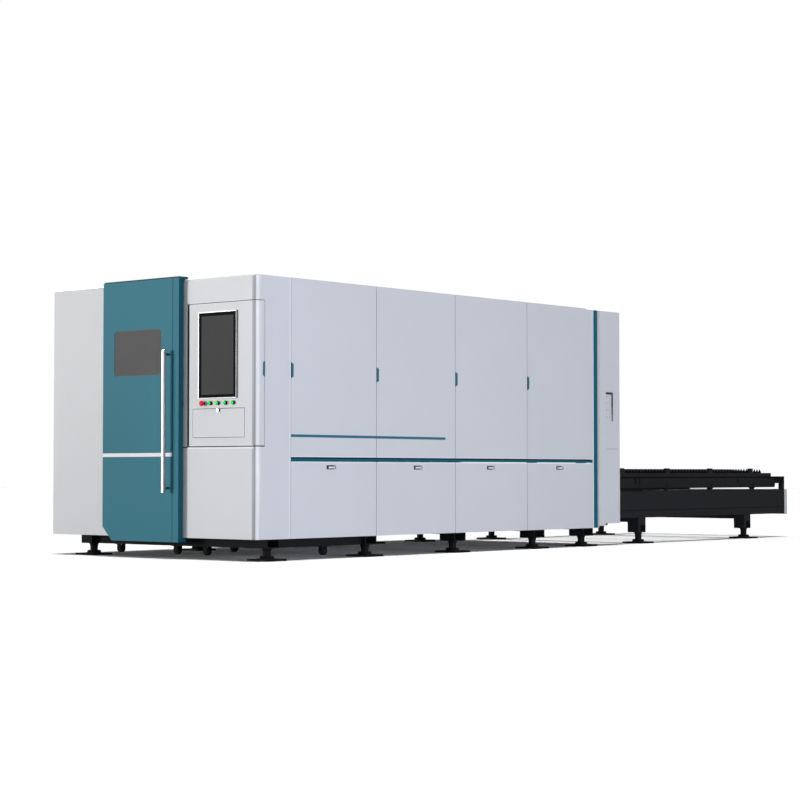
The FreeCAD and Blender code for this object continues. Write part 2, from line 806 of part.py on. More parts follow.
def control_box():
    x = grown(control_box_x, -control_box_gap)
    z = grown(control_box_z, -control_box_gap)
    body = block(x, (0, control_box_depth), z)
    flange = block(grown(x, control_flange), (sheet, 2 * sheet), grown(z, control_flange))
    pocket = block(grown(x, -sheet), (-cut_margin, control_face_depth), grown(z, -sheet))
    box = joined([body, flange]).cut(pocket)
    columns = [control_box_x[0] + control_column_inset + control_column_pitch * index for index in range(2)]
    rows = [control_box_z[0] + control_row_rise + control_row_pitch * index for index in range(3)]
    places = [(columns[0], control_box_z[1] - control_top_button_drop)]
    places += [(column, row) for column in columns for row in rows]
    buttons = [rod(control_button_radius, (column, control_face_depth, row), (0, -1, 0),
                   control_button_proud) for column, row in places]
    return joined([box] + buttons)


parts["end_control_box"] = control_box()

rail_length = (side_seams[0] + panel_gap, side_seams[-1] - panel_gap)
side_rail_z = (side_rail_bottom + panel_gap, side_rail_top - panel_gap)
parts["lower_side_rail"] = tray(rail_length, (side_rail_recess, bed_wall_y[0]), side_rail_z, "+y")

# ---------------------------------------------------------------- sliding door


def door_shell():
    y0, y1 = door_y
    z0, z1 = door_bottom, door_top

    def outline(inset):
        cut = door_cut_corner - inset * (2 - math.sqrt(2))
        near, far, low, high = y0 + inset, y1 - inset, z0 + inset, z1 - inset
        return [(near, low), (far - cut, low), (far, low + cut), (far, high), (near, high)]

    def round_top(solid, radius):
        places = [edge for edge in solid.Edges if edge.BoundBox.XLength > sheet
                  and edge.BoundBox.YMin > y1 - radius and edge.BoundBox.ZMin > z1 - radius]
        return solid.makeFillet(radius, places)

    outer = round_top(plate_yz(outline(0), (door_front_x, door_back_x)), door_top_radius)
    inner = plate_yz(outline(sheet), (door_front_x + sheet, door_back_x + cut_margin))
    inner = round_top(inner, door_top_radius - sheet)
    hood = block((door_back_x, hood_reach), (y0, y1 - door_top_radius), (z1 - hood_height, z1))
    hook_y = (y0, y1 - door_cut_corner)
    hook = block((door_back_x, underhook_reach), hook_y, (z0, z0 + underhook_height))
    shell = joined([outer, hood, hook]).cut(inner)
    hood_y = (y0 + sheet, y1 - door_top_radius - sheet)
    hood_z = (z1 - hood_height - cut_margin, z1 - sheet)
    hood_space = block((door_front_x + sheet, hood_reach - sheet), hood_y, hood_z)
    hook_space = block((door_front_x + sheet, underhook_reach - sheet), grown(hook_y, -sheet),
                       (z0 + sheet, z0 + underhook_height + cut_margin))
    shell = shell.cut(hood_space).cut(hook_space)
    skin_x = grown((door_front_x, door_front_x + sheet), cut_margin)
    window = rounded_opening(skin_x, window_y, window_z, window_radius)
    crease_x = (door_front_x - cut_margin, door_front_x + seam_depth)
    crease = block(crease_x, across(door_crease_y, door_crease_width), grown((z0, z1), cut_margin))
    return shell.cut(window).cut(crease)


parts["sliding_door_shell"] = door_shell()

glass_x = (door_front_x + sheet, door_front_x + sheet + window_glass)
parts["sliding_door_window"] = rounded_opening(glass_x, grown(window_y, window_overlap),
                                               grown(window_z, window_overlap), window_radius)


def door_handle():
    bar_x = door_front_x - handle_standoff
    bar = rod(handle_radius, (bar_x, handle_y, handle_z[0]), (0, 0, 1), handle_z[1] - handle_z[0])
    bar = bar.makeChamfer(handle_chamfer, [edge for edge in bar.Edges if len(edge.Vertexes) == 1])
    posts = [rod(handle_post_radius, (bar_x, handle_y, z), (1, 0, 0), handle_standoff)
             for z in (handle_z[0] + handle_post_inset, handle_z[1] - handle_post_inset)]
    return joined([bar] + posts)


parts["sliding_door_handle"] = door_handle()

rail_end_y = door_y[1] + door_travel
door_rail_z = (roof_top, roof_top + door_rail_height)
parts["sliding_door_rail"] = block(door_rail_x, (door_y[0], rail_end_y), door_rail_z)

hanger_z = (door_rail_z[1] + hanger_clearance, door_top - sheet)
hanger_x = grown(door_rail_x, hanger_wing)
hanger_start_y = (door_y[0] + hanger_insets[0], door_y[1] - hanger_insets[1] - hanger_length)
parts["sliding_door_hangers"] = group([block(hanger_x, (y, y + hanger_length), hanger_z)
                                       for y in hanger_start_y])

# ---------------------------------------------------------------- console door
console_edge_y = console_hinge_y - console_slot
button_places = [(y, button_radius) for y in button_centres_y] + [(stop_centre_y, stop_stem_radius)]


def console_shell():
    z = (console_bottom, console_top)
    skin = corner_band(console_edge_y, console_side_reach, 0, door_depth, z)
    hollow = corner_band(console_edge_y - sheet, console_side_reach - sheet, sheet,
                         door_depth + cut_margin, grown(z, -sheet))
    shell = skin.cut(hollow)
    skin_x = grown((0, sheet), cut_margin)
    shell = shell.cut(block(skin_x, grown(monitor_y, -monitor_lip), grown(monitor_z, -monitor_lip)))
    shell = shell.cut(block(skin_x, flap_y, flap_z))
    for y, radius in button_places:
        start = (skin_x[0], y, button_z)
        shell = shell.cut(rod(radius + collar_sleeve_wall, start, (1, 0, 0), skin_x[1] - skin_x[0]))
    return joined([shell, door_pull(console_side_reach, -console_pull_width)])


parts["console_door_shell"] = console_shell()

rim = block((-monitor_proud, 0), monitor_y, monitor_z)
back_inset = monitor_lip + monitor_fit
housing_back = block((0, monitor_back), grown(monitor_y, -back_inset), grown(monitor_z, -back_inset))
screen_y, screen_z = grown(monitor_y, -monitor_rim), grown(monitor_z, -monitor_rim)
screen_x = (-monitor_proud + screen_recess, -monitor_proud + screen_recess + screen_thickness)
screen_space = block((-monitor_proud - cut_margin, screen_x[1]), screen_y, screen_z)
parts["monitor_housing"] = joined([rim, housing_back]).cut(screen_space)
parts["monitor_screen"] = block(screen_x, screen_y, screen_z)


def collar(y, bore_radius):
    """A ring on the skin with a sleeve through its hole."""
    flange = rod(bore_radius + collar_wall, (-collar_proud, y, button_z), (1, 0, 0), collar_proud)
    sleeve = rod(bore_radius + collar_sleeve_wall, (0, y, button_z), (1, 0, 0), collar_sleeve)
    bore_x = grown((-collar_proud, collar_sleeve), cut_margin)
    bore = rod(bore_radius + button_clearance, (bore_x[0], y, button_z), (1, 0, 0), bore_x[1] - bore_x[0])
    return joined([flange, sleeve]).cut(bore)


parts["button_collars"] = group([collar(y, radius) for y, radius in button_places])


def round_cap(radius, start_x, y, length, edge):
    cap = rod(radius, (start_x, y, button_z), (1, 0, 0), length)
    front = [item for item in cap.Edges
             if item.BoundBox.XMax < start_x + edge and len(item.Vertexes) == 1]
    return cap.makeFillet(edge, front)


for number, y in enumerate(button_centres_y, 1):
    parts["start_button_%d" % number] = round_cap(button_radius, -button_proud, y,
                                                  button_proud + button_stem, button_round)


def stop_button():
    head_length = stop_proud - collar_proud - stop_travel - stop_head_gap
    head = round_cap(stop_radius, -stop_proud, stop_centre_y, head_length, stop_round)
    stem_x = (-stop_proud + head_length / 2, button_stem)
    stem = rod(stop_stem_radius, (stem_x[0], stop_centre_y, button_z), (1, 0, 0), stem_x[1] - stem_x[0])
    return joined([head, stem])


parts["emergency_stop_button"] = stop_button()

flap_leaf_y = grown(flap_y, -flap_gap)
flap_leaf_z = grown(flap_z, -flap_gap)
lock_z = flap_z[1] - lock_below_edge


def flap():
    leaf = tray((0, flap_depth), flap_leaf_y, flap_leaf_z, "+x")
    hole_x = grown((0, sheet), cut_margin)
    hole_radius = lock_stem_radius + button_clearance
    return leaf.cut(rod(hole_radius, (hole_x[0], lock_y, lock_z), (1, 0, 0), hole_x[1] - hole_x[0]))


parts["keyboard_flap"] = flap()


def flap_lock():
    knob = rod(lock_radius, (-lock_proud, lock_y, lock_z), (1, 0, 0), lock_proud - button_clearance)
    slot_x = (-lock_proud - cut_margin, -lock_proud + lock_slot_depth)
    slot = block(slot_x, across(lock_y, 2 * lock_radius), across(lock_z, lock_slot_width))
    cam_x = (flap_depth + cut_margin, flap_depth + cut_margin + lock_cam_thickness)
    stem_x = (-lock_proud + lock_slot_depth, cam_x[1])
    stem = rod(lock_stem_radius, (stem_x[0], lock_y, lock_z), (1, 0, 0), stem_x[1] - stem_x[0])
    cam_y = (lock_y - lock_cam_reach, lock_y + lock_cam_width / 2)
    cam = block(cam_x, cam_y, across(lock_z, lock_cam_width))
    return joined([knob.cut(slot), stem, cam])


parts["flap_lock"] = flap_lock()

# ---------------------------------------------------------------- side doors and drawers


def side_door(left, right):
    x = (left + panel_gap, right - panel_gap)
    leaf = tray(x, (0, door_depth), (side_rail_top + panel_gap, panel_top), "+y")
    return joined([leaf, door_pull(x[0], pull_width)])


def tray_limits(left, right):
    """The clear width between the bed posts that stand behind one drawer front."""
    low, high = left, right
    for post in cross_tube_x:
        if left - tube_width < post < (left + right) / 2:
            low = max(low, post + tube_width / 2)
        if (left + right) / 2 < post < right + tube_width:
            high = min(high, post - tube_width / 2)
    return (low + tray_side_gap, high - tray_side_gap)


def drawer(left, right, slot_offset):
    x = (left + panel_gap, right - panel_gap)
    front = tray(x, (0, door_depth), (panel_bottom, side_rail_bottom - panel_gap), "+y")
    tray_z = (drawer_tray_bottom, drawer_tray_bottom + drawer_tray_height)
    box = tray(tray_limits(left, right), (0, drawer_tray_length), tray_z, "+z")
    slot_x = (left + right) / 2 + slot_offset
    slot = (across(slot_x, finger_slot_size[0]), across(finger_slot_z, finger_slot_size[1]))
    cup = block(grown(slot[0], sheet), (0, finger_cup_depth + sheet), grown(slot[1], sheet))
    space = block(slot[0], (-cut_margin, finger_cup_depth), slot[1])
    return joined([front, box, cup]).cut(space)


for number in range(1, len(side_seams)):
    left, right = side_seams[number - 1], side_seams[number]
    parts["side_door_%d" % number] = side_door(left, right)
    parts["lower_drawer_%d" % number] = drawer(left, right, finger_slot_offsets[number - 1])

# ---------------------------------------------------------------- cabinets inside
electrical_x = (monitor_back + cabinet_clearance, track_start_x - cabinet_clearance)
electrical_y = (frame_near_y[1] + cabinet_clearance, console_hinge_y)
electrical_z = (bed_beam_z[1], bed_beam_z[1] + electrical_height)
parts["electrical_cabinet"] = tray(electrical_x, electrical_y, electrical_z, "-z")
laser_x = (cross_tube_x[1] - cabinet_clearance, cross_tube_x[2] + cabinet_clearance)
laser_y = (far_side(bed_wall_y)[1] + cabinet_clearance, frame_far_y[0] - laser_gap)
laser_z = (tube_top + frame_tube, tube_top + frame_tube + laser_height)
parts["laser_source"] = tray(laser_x, laser_y, laser_z, "-z")

# ---------------------------------------------------------------- gantry and head


def gantry():
    beam = box_tube(gantry_x, (rail_y[0], far_side(rail_y)[1]), gantry_z, "y", tube_wall)
    middle_x = sum(gantry_x) / 2
    truck_y = across(gantry_rail_y, gantry_truck_width)
    truck_z = (rail_z[1] + gantry_clearance, gantry_z[0])
    trucks = []
    for y in (truck_y, far_side(truck_y)):
        trucks.append(block(across(middle_x, gantry_truck_length), y, truck_z))
    return joined([beam] + trucks)


parts["gantry_beam"] = gantry()

carriage_x = (gantry_x[1] + gantry_clearance, gantry_x[1] + gantry_clearance + carriage_depth)
parts["cross_carriage"] = block(carriage_x, across(centre_y, carriage_width), carriage_z)

head_x = (carriage_x[1] + gantry_clearance, carriage_x[1] + gantry_clearance + head_size[0])
head_middle_x = sum(head_x) / 2
parts["cutting_head"] = block(head_x, across(centre_y, head_size[1]), head_z)


def nozzle():
    length = head_z[0] - nozzle_tip_z
    tip = (head_middle_x, centre_y, nozzle_tip_z)
    cone = Part.makeCone(nozzle_radii[1], nozzle_radii[0], length, Vector(*tip))
    return cone.cut(rod(nozzle_bore, tip, (0, 0, 1), length))


parts["nozzle"] = nozzle()

# ---------------------------------------------------------------- exchange table
table_x = (table_start_x, table_end_x)
beam_y = (table_side_y, table_side_y + table_beam_width)
inner_beam_y = (beam_y[1], far_side(beam_y)[0])


def side_beam(mirror):
    y0, y1 = beam_y
    z0, z1 = table_beam_z
    low_y = y0 + table_fold_step

    def outline(inset):
        return [(y0 + inset, z1 - inset), (y0 + inset, table_fold_z),
                (low_y + inset, table_fold_z - table_fold_drop),
                (low_y + inset, z0 + inset), (y1 - inset, z0 + inset), (y1 - inset, z1 - inset)]

    def solid(inset):
        points = outline(inset)
        if mirror:
            points = [(2 * centre_y - y, z) for y, z in points]
        return plate_yz(points, table_x)

    return solid(0).cut(solid(table_wall))


def table_leg(x, y):
    limits = across(x, leg_size[0]), across(y, leg_size[1]), (leg_bottom, table_beam_z[0])
    leg = box_tube(limits[0], limits[1], limits[2], "z", leg_wall)
    foot = block(limits[0], limits[1], (leg_bottom, leg_bottom + leg_wall))
    hole_z = (leg_bottom + leg_hole_rise, leg_bottom + leg_hole_rise + leg_hole[1])
    hole_y = grown(limits[1], cut_margin)
    return joined([leg, foot]).cut(block(across(x + leg_hole_shift, leg_hole[0]), hole_y, hole_z))


def table_frame():
    pieces = [side_beam(False), side_beam(True)]
    far_foot = 2 * centre_y - table_foot_y
    cross_z = (table_beam_z[0] - cross_beam_drop, table_beam_z[0])
    support_z = (table_beam_z[0], lower_track_z[0])
    between_legs = (table_foot_y + leg_size[1] / 2, far_foot - leg_size[1] / 2)
    for foot_x in table_foot_x:
        x = foot_x - leg_shift
        pieces += [table_leg(x, table_foot_y), table_leg(x, far_foot)]
        pieces.append(box_tube(across(x, leg_size[0]), between_legs, cross_z, "y", table_wall))
        for y in (lower_track_y, far_side(lower_track_y)):
            pieces.append(block(across(x, leg_size[0]), y, support_z))
    end_cross_x = (table_x[0] + table_cross_width / 2, table_x[1] - table_cross_width / 2)
    for x in end_cross_x:
        pieces.append(box_tube(across(x, table_cross_width), inner_beam_y, support_z, "y", table_wall))
    pieces += track_bars(table_x)
    middle_x = sum(table_foot_x) / 2
    for x in (end_cross_x[0], table_foot_x[0], middle_x, table_foot_x[1], end_cross_x[1]):
        bracket_y = (beam_y[1], track_y[1])
        bracket_z = (track_z[0] - track_bracket_height, track_z[0])
        for y in (bracket_y, far_side(bracket_y)):
            pieces.append(block(across(x, table_bracket_width), y, bracket_z))
    post_x = (table_end_x - end_post_size[0], table_end_x)
    post_y = (table_side_y, table_side_y + end_post_size[1])
    for y in (post_y, far_side(post_y)):
        pieces.append(block(post_x, y, (table_beam_z[1], end_bar_z[0])))
    pieces.append(box_tube(post_x, (post_y[0], far_side(post_y)[1]), end_bar_z, "y", frame_wall))
    return group(pieces)


parts["table_frame"] = table_frame()

end_cover_x = (table_end_x, table_end_x + end_panel_depth)
parts["table_end_panel"] = tray(end_cover_x, (table_side_y, far_side(beam_y)[1]), end_panel_z, "-x")

# ---------------------------------------------------------------- pallets


def pallet_side(y, inward, shift_x, drop):
    """One side of a pallet: a channel, a recessed bar, a top beam and a guard for the wheels."""
    x0, x1 = pallet_x[0] + shift_x, pallet_x[1] + shift_x
    z0 = pallet_low_z - drop
    z1 = z0 + pallet_beam_height
    z2 = z1 + pallet_groove_height
    z3 = z2 + pallet_top_beam_height

    def depth(near, far):
        return tuple(sorted((y + inward * near, y + inward * far)))

    slant = [(x0 + pallet_end_slant, z0), (x1 - pallet_end_slant, z0), (x1, z1), (x0, z1)]
    low_y = depth(0, pallet_beam_width)[0]
    outline = Part.makePolygon([Vector(x, low_y, z) for x, z in slant + slant[:1]])
    channel = Part.Face(outline).extrude(Vector(0, pallet_beam_width, 0))
    hollow_y = depth(pallet_wall, pallet_beam_width + cut_margin)
    hollow_z = (z0 + pallet_wall, z1 - pallet_wall)
    channel = channel.cut(block(grown((x0, x1), cut_margin), hollow_y, hollow_z))
    for x in pallet_wheel_x:
        slot_x = across(x + shift_x, 2 * (pallet_wheel_radius + pallet_wheel_slot_gap))
        channel = channel.cut(block(slot_x, hollow_y, grown((z0, z0 + pallet_wall), cut_margin)))
    upper_x = (x0 + pallet_top_inset, x1 - pallet_top_inset)
    bar = block(upper_x, depth(pallet_groove_depth, pallet_beam_width), (z1, z2))
    top = block(upper_x, depth(0, pallet_beam_width), (z2, z3))
    guard_x = (x0 + pallet_end_slant, x0 + wheel_guard_length)
    guard_y = depth(pallet_beam_width - wheel_guard_thickness, pallet_beam_width)
    guard = block(guard_x, guard_y, (z0 - wheel_guard_drop, z0 + pallet_wall))
    pieces = [channel, bar, top, guard]
    axle_z = z0 + pallet_wheel_drop
    for x in pallet_wheel_x:
        start = (x + shift_x, y - inward * axle_boss_length, axle_z)
        pieces.append(rod(axle_boss_radius, start, (0, inward, 0), axle_boss_length))
        pieces.append(rod(pallet_axle_radius, start, (0, inward, 0), axle_boss_length + pallet_beam_width))
    for x in block_x:
        holder_x = across(x + shift_x, block_size[0])
        pieces.append(block(holder_x, depth(0, block_size[1]), (z3, z3 + slat_height + block_rise)))
    return joined(pieces)


def pallet_frame(inset, shift_x, drop):
    near_y = pallet_side_y + inset
    far_y = 2 * centre_y - near_y
    pieces = [pallet_side(near_y, 1, shift_x, drop), pallet_side(far_y, -1, shift_x, drop)]
    cross_y = (near_y + pallet_beam_width, far_y - pallet_beam_width)
    cross_low_z = pallet_low_z - drop + pallet_cross_rise
    cross_z = (cross_low_z, cross_low_z + pallet_cross_size)
    first_x = pallet_x[0] + shift_x + pallet_top_inset + pallet_cross_size / 2
    last_x = pallet_x[1] + shift_x - pallet_top_inset - pallet_cross_size / 2
    for index in range(pallet_cross_count):
        x = first_x + (last_x - first_x) * index / (pallet_cross_count - 1)
        pieces.append(box_tube(across(x, pallet_cross_size), cross_y, cross_z, "y", tube_wall))
    return pieces


def pallet_wheels(inset, shift_x, drop):
    wheels = []
    wheel_z = pallet_low_z - drop + pallet_wheel_drop
    near_y = wheel_middle_y + inset
    radius = pallet_wheel_radius - wheel_clearance
    for x in pallet_wheel_x:
        for y in (near_y, 2 * centre_y - near_y):
            start = (x + shift_x, y - pallet_wheel_width / 2, wheel_z)
            wheels.append(ring(radius, pallet_axle_radius, start, (0, 1, 0), pallet_wheel_width))
    return wheels


def slat(x, inset, drop, teeth):
    """A support slat on edge, with a notched top and a deeper middle."""
    y0 = pallet_side_y + inset + slat_inset
    y1 = 2 * centre_y - y0
    seat_z = pallet_top_z - drop
    top_z = seat_z + slat_height
    shoulder = pallet_beam_width + slat_side_gap - slat_inset
    points = [(y0, seat_z), (y0 + shoulder, seat_z), (y0 + shoulder, seat_z - slat_depth),
              (y1 - shoulder, seat_z - slat_depth), (y1 - shoulder, seat_z), (y1, seat_z)]
    pitch = (y1 - y0) / max(teeth, 1)
    points.append((y1, top_z))
    for index in range(teeth):
        start = y1 - pitch * index
        points.append((start - pitch / 2, top_z - slat_tooth_height))
        points.append((start - pitch, top_z))
    if teeth == 0:
        points.append((y0, top_z))
    return plate_yz(points, across(x, slat_thickness))


def slats(inset, shift_x, drop, teeth):
    return [slat(slat_last_x + shift_x - slat_pitch * index, inset, drop, teeth)
            for index in range(slat_count)]


parts["upper_pallet_frame"] = group(pallet_frame(0, 0, 0))
parts["upper_pallet_slats"] = group(slats(0, 0, 0, slat_teeth))
parts["upper_pallet_wheels"] = group(pallet_wheels(0, 0, 0))
lower = (lower_pallet_inset, -pallet_travel, lower_pallet_drop)
parts["lower_pallet"] = group(pallet_frame(*lower) + pallet_wheels(*lower) + slats(*lower, 0))

# ---------------------------------------------------------------- origin and files
low_x = door_front_x - handle_standoff - handle_radius
high_x = end_cover_x[1]
low_y = near_foot_y - foot_plate / 2
origin = Vector((low_x + high_x) / 2, (low_y + enclosure_width) / 2, 0)

os.makedirs("parts", exist_ok=True)
for name, shape in parts.items():
    shape.translate(origin * -1)
    shape.exportStep("parts/%s.step" % name)
print(len(parts), "pieces, origin at", tuple(round(value, 3) for value in origin))
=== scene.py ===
import math

import bmesh
import bpy
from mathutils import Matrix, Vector


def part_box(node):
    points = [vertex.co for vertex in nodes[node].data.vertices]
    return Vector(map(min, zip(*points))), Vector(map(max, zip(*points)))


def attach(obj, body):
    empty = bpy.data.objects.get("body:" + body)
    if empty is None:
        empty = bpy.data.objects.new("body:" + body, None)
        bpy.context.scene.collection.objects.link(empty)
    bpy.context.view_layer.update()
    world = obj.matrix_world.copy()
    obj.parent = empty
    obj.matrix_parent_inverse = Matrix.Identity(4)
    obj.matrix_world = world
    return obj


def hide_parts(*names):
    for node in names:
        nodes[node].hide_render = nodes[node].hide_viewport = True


# Looks of an enclosed sheet cutting machine with an exchange table, in metres.
# Layout figures are in millimetres from the front near corner on the floor, and at()
# moves them into the frame.

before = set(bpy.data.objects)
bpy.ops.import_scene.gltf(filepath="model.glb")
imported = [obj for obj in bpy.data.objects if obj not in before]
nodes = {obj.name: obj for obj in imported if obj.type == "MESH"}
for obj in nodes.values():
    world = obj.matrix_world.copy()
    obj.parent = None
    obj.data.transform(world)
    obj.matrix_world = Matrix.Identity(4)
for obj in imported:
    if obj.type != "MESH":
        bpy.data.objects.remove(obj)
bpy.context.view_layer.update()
scene = bpy.context.scene
scene.view_settings.view_transform = "Standard"

ORIGIN_MM = Vector((3921.0, 1156.25, 0.0))


def at(x, y, z):
    return (Vector((x, y, z)) - ORIGIN_MM) / 1000.0


# ---------------------------------------------------------------- camera
CAMERA_AT = at(-10895.8, -10725.5, 671.0)
CAMERA_YAW = 0.70731
CAMERA_PITCH = 0.03554
LENS_MM = 91.5


def make_camera():
    data = bpy.data.cameras.new("camera")
    data.sensor_width = 36.0
    data.lens = LENS_MM
    data.clip_start = 0.1
    data.clip_end = 200.0
    camera = bpy.data.objects.new("camera", data)
    scene.collection.objects.link(camera)
    forward = Vector((math.cos(CAMERA_YAW) * math.cos(CAMERA_PITCH),
                      math.sin(CAMERA_YAW) * math.cos(CAMERA_PITCH), math.sin(CAMERA_PITCH)))
    camera.location = CAMERA_AT
    camera.rotation_mode = "QUATERNION"
    camera.rotation_quaternion = forward.to_track_quat("-Z", "Y")
    scene.camera = camera


make_camera()

# ---------------------------------------------------------------- node helpers


class Graph:
    """A small helper around one material's node tree."""

    def __init__(self, name):
        self.material = bpy.data.materials.new(name)
        self.material.use_nodes = True
        self.tree = self.material.node_tree
        self.tree.nodes.clear()
        self.output = self.add("ShaderNodeOutputMaterial")
        self.shader = self.add("ShaderNodeBsdfPrincipled")
        self.link(self.shader.outputs[0], self.output.inputs["Surface"])
        self.place = self.add("ShaderNodeTexCoord").outputs["Object"]
        self.split = None

    def add(self, kind, **settings):
        node = self.tree.nodes.new(kind)
        for key, value in settings.items():
            setattr(node, key, value)
        return node

    def link(self, source, target):
        self.tree.links.new(source, target)

    def put(self, value, socket):
        if hasattr(value, "is_output"):
            self.link(value, socket)
        else:
            socket.default_value = value

    def math(self, kind, first, second=0.0):
        node = self.add("ShaderNodeMath", operation=kind)
        self.put(first, node.inputs[0])
        self.put(second, node.inputs[1])
        return node.outputs[0]

    def noise(self, scale, detail=2.0, roughness=0.5, stretch=None):
        node = self.add("ShaderNodeTexNoise")
        node.inputs["Scale"].default_value = scale
        node.inputs["Detail"].default_value = detail
        node.inputs["Roughness"].default_value = roughness
        source = self.place
        if stretch:
            mapping = self.add("ShaderNodeMapping")
            mapping.inputs["Scale"].default_value = stretch
            self.link(self.place, mapping.inputs["Vector"])
            source = mapping.outputs[0]
        self.link(source, node.inputs["Vector"])
        return node.outputs["Fac"]

    def spread(self, value, low, high, out_low, out_high):
        node = self.add("ShaderNodeMapRange")
        self.link(value, node.inputs["Value"])
        limits = {"From Min": low, "From Max": high, "To Min": out_low, "To Max": out_high}
        for key, number in limits.items():
            node.inputs[key].default_value = number
        return node.outputs[0]

    def vary(self, noise, low, high):
        """A noise, which mostly runs from 0.3 to 0.7, stretched to run from low to high."""
        return self.spread(noise, 0.3, 0.7, low, high)

    def blend(self, amount, first, second):
        node = self.add("ShaderNodeMix", data_type="RGBA")
        self.put(amount, node.inputs["Factor"])
        self.put(first, node.inputs[6])
        self.put(second, node.inputs[7])
        return node.outputs[2]

    def worn_and_highlit_edges(self, radius):
        """1 on the outer edges, broken up by a noise, 0 on flat faces; the paints blend a colour here that
        is both wear and a painted highlight.
        """
        rounded = self.add("ShaderNodeBevel", samples=4)
        rounded.inputs["Radius"].default_value = radius
        flat = self.add("ShaderNodeNewGeometry")
        turn = self.add("ShaderNodeVectorMath", operation="DOT_PRODUCT")
        self.link(rounded.outputs[0], turn.inputs[0])
        self.link(flat.outputs["Normal"], turn.inputs[1])
        edge = self.spread(turn.outputs["Value"], 1.0, 0.8, 0.0, 1.0)
        return self.math("MULTIPLY", edge, self.spread(self.noise(9.0, 3.0), 0.3, 0.6, 0.4, 1.0))

    def bump(self, height, strength, distance):
        node = self.add("ShaderNodeBump")
        node.inputs["Strength"].default_value = strength
        node.inputs["Distance"].default_value = distance
        self.link(height, node.inputs["Height"])
        self.link(node.outputs[0], self.shader.inputs["Normal"])

    def inside(self, low, high):
        """1 inside a box given in millimetres from the near front corner, 0 outside it."""
        if self.split is None:
            node = self.add("ShaderNodeSeparateXYZ")
            self.link(self.place, node.inputs[0])
            self.split = node.outputs
        total = None
        for index in range(3):
            for limit, kind in ((low[index], "GREATER_THAN"), (high[index], "LESS_THAN")):
                if limit is None:
                    continue
                edge = (limit - ORIGIN_MM[index]) / 1000.0
                test = self.math(kind, self.split[index], edge)
                total = test if total is None else self.math("MULTIPLY", total, test)
        return total

    def set(self, **values):
        for key, value in values.items():
            self.put(value, self.shader.inputs[key.replace("_", " ")])


def rgb(red, green, blue):
    """An on-screen colour of 0 to 255 as a linear colour."""
    def linear(value):
        value /= 255.0
        return value / 12.92 if value <= 0.04045 else ((value + 0.055) / 1.055) ** 2.4
    return (linear(red), linear(green), linear(blue), 1.0)


def scaled(colour, factor):
    return (colour[0] * factor, colour[1] * factor, colour[2] * factor, 1.0)


# ---------------------------------------------------------------- paints and metals
PANEL = rgb(212, 213, 217)
TEAL = rgb(49, 122, 140)
DEEP_TEAL = rgb(6, 95, 114)
BLACK_PAINT = rgb(28, 28, 30)
# Rubber seals and gaps, painted dark as the shade between parts.
SEAL_SHADE = rgb(34, 35, 38)
# Light grey for painted highlight lines along edges, folds and seams, and the colour of worn edges.
EDGE_HIGHLIGHT = rgb(236, 236, 240)


def painted(name, colour, patches=(), roughness=0.45, gloss=0.5, grain=1.0, variation=0.015, edge=None):
    """Powder coat: a faint orange-peel surface, patches of other colours in named boxes, some of them
    painted shade and painted highlight, and worn edges whose lighter colour also paints a highlight along
    the edges.
    """
    g = Graph(name)
    cloud = g.vary(g.noise(1.3, 3.0), 0.0, 1.0)
    shade = g.blend(cloud, scaled(colour, 1.0 - variation), scaled(colour, 1.0 + variation))
    if edge:
        # worn edges: real wear, lightened so that it also paints a highlight along each edge
        shade = g.blend(g.worn_and_highlit_edges(0.005), shade, edge)
    for low, high, patch in patches:
        shade = g.blend(g.inside(low, high), shade, patch)
    g.link(shade, g.shader.inputs["Base Color"])
    peel = g.noise(420.0, 2.0, 0.6)
    g.link(g.vary(peel, roughness - 0.04, roughness + 0.05), g.shader.inputs["Roughness"])
    g.bump(peel, 0.12 * grain, 0.0004)
    g.set(Specular_IOR_Level=gloss)
    return g.material


def metal(name, colour, roughness, brushed=None, dull_and_shaded=()):
    """Bare metal with streaks along one axis; dull boxes have a colour of their own and no polish, and
    some of them paint the shade on a near side.
    """
    g = Graph(name)
    streak = g.noise(60.0, 4.0, 0.6, brushed or (1.0, 1.0, 1.0))
    shade = g.blend(g.vary(streak, 0.0, 1.0), scaled(colour, 0.92), scaled(colour, 1.05))
    finish = g.vary(streak, roughness - 0.05, roughness + 0.07)
    polish = 1.0
    for low, high, patch in dull_and_shaded:
        where = g.inside(low, high)
        shade = g.blend(where, shade, patch)
        polish = g.math("MULTIPLY", polish, g.math("SUBTRACT", 1.0, where))
    g.set(Metallic=polish)
    g.link(shade, g.shader.inputs["Base Color"])
    g.link(finish, g.shader.inputs["Roughness"])
    g.bump(streak, 0.06, 0.0003)
    return g.material


def plastic(name, colour, roughness, grain=0.1, gloss=0.3):
    """Moulded plastic with a very fine grain."""
    g = Graph(name)
    fine = g.noise(900.0, 2.0)
    shade = g.blend(g.vary(fine, 0.0, 1.0), scaled(colour, 0.95), scaled(colour, 1.05))
    g.link(shade, g.shader.inputs["Base Color"])
    g.link(g.vary(fine, roughness - 0.03, roughness + 0.05), g.shader.inputs["Roughness"])
    g.bump(fine, grain, 0.0002)
    g.set(Specular_IOR_Level=gloss)
    return g.material


def cast(name, colour, roughness=0.55, gloss=0.15):
    """A rough cast, moulded or blackened surface."""
    g = Graph(name)
    rough = g.noise(160.0, 5.0, 0.65)
    shade = g.blend(g.vary(rough, 0.0, 1.0), scaled(colour, 0.8), scaled(colour, 1.2))
    g.link(shade, g.shader.inputs["Base Color"])
    g.link(g.vary(rough, roughness - 0.08, roughness + 0.1), g.shader.inputs["Roughness"])
    g.bump(rough, 0.35, 0.0008)
    g.set(Specular_IOR_Level=gloss)
    return g.material


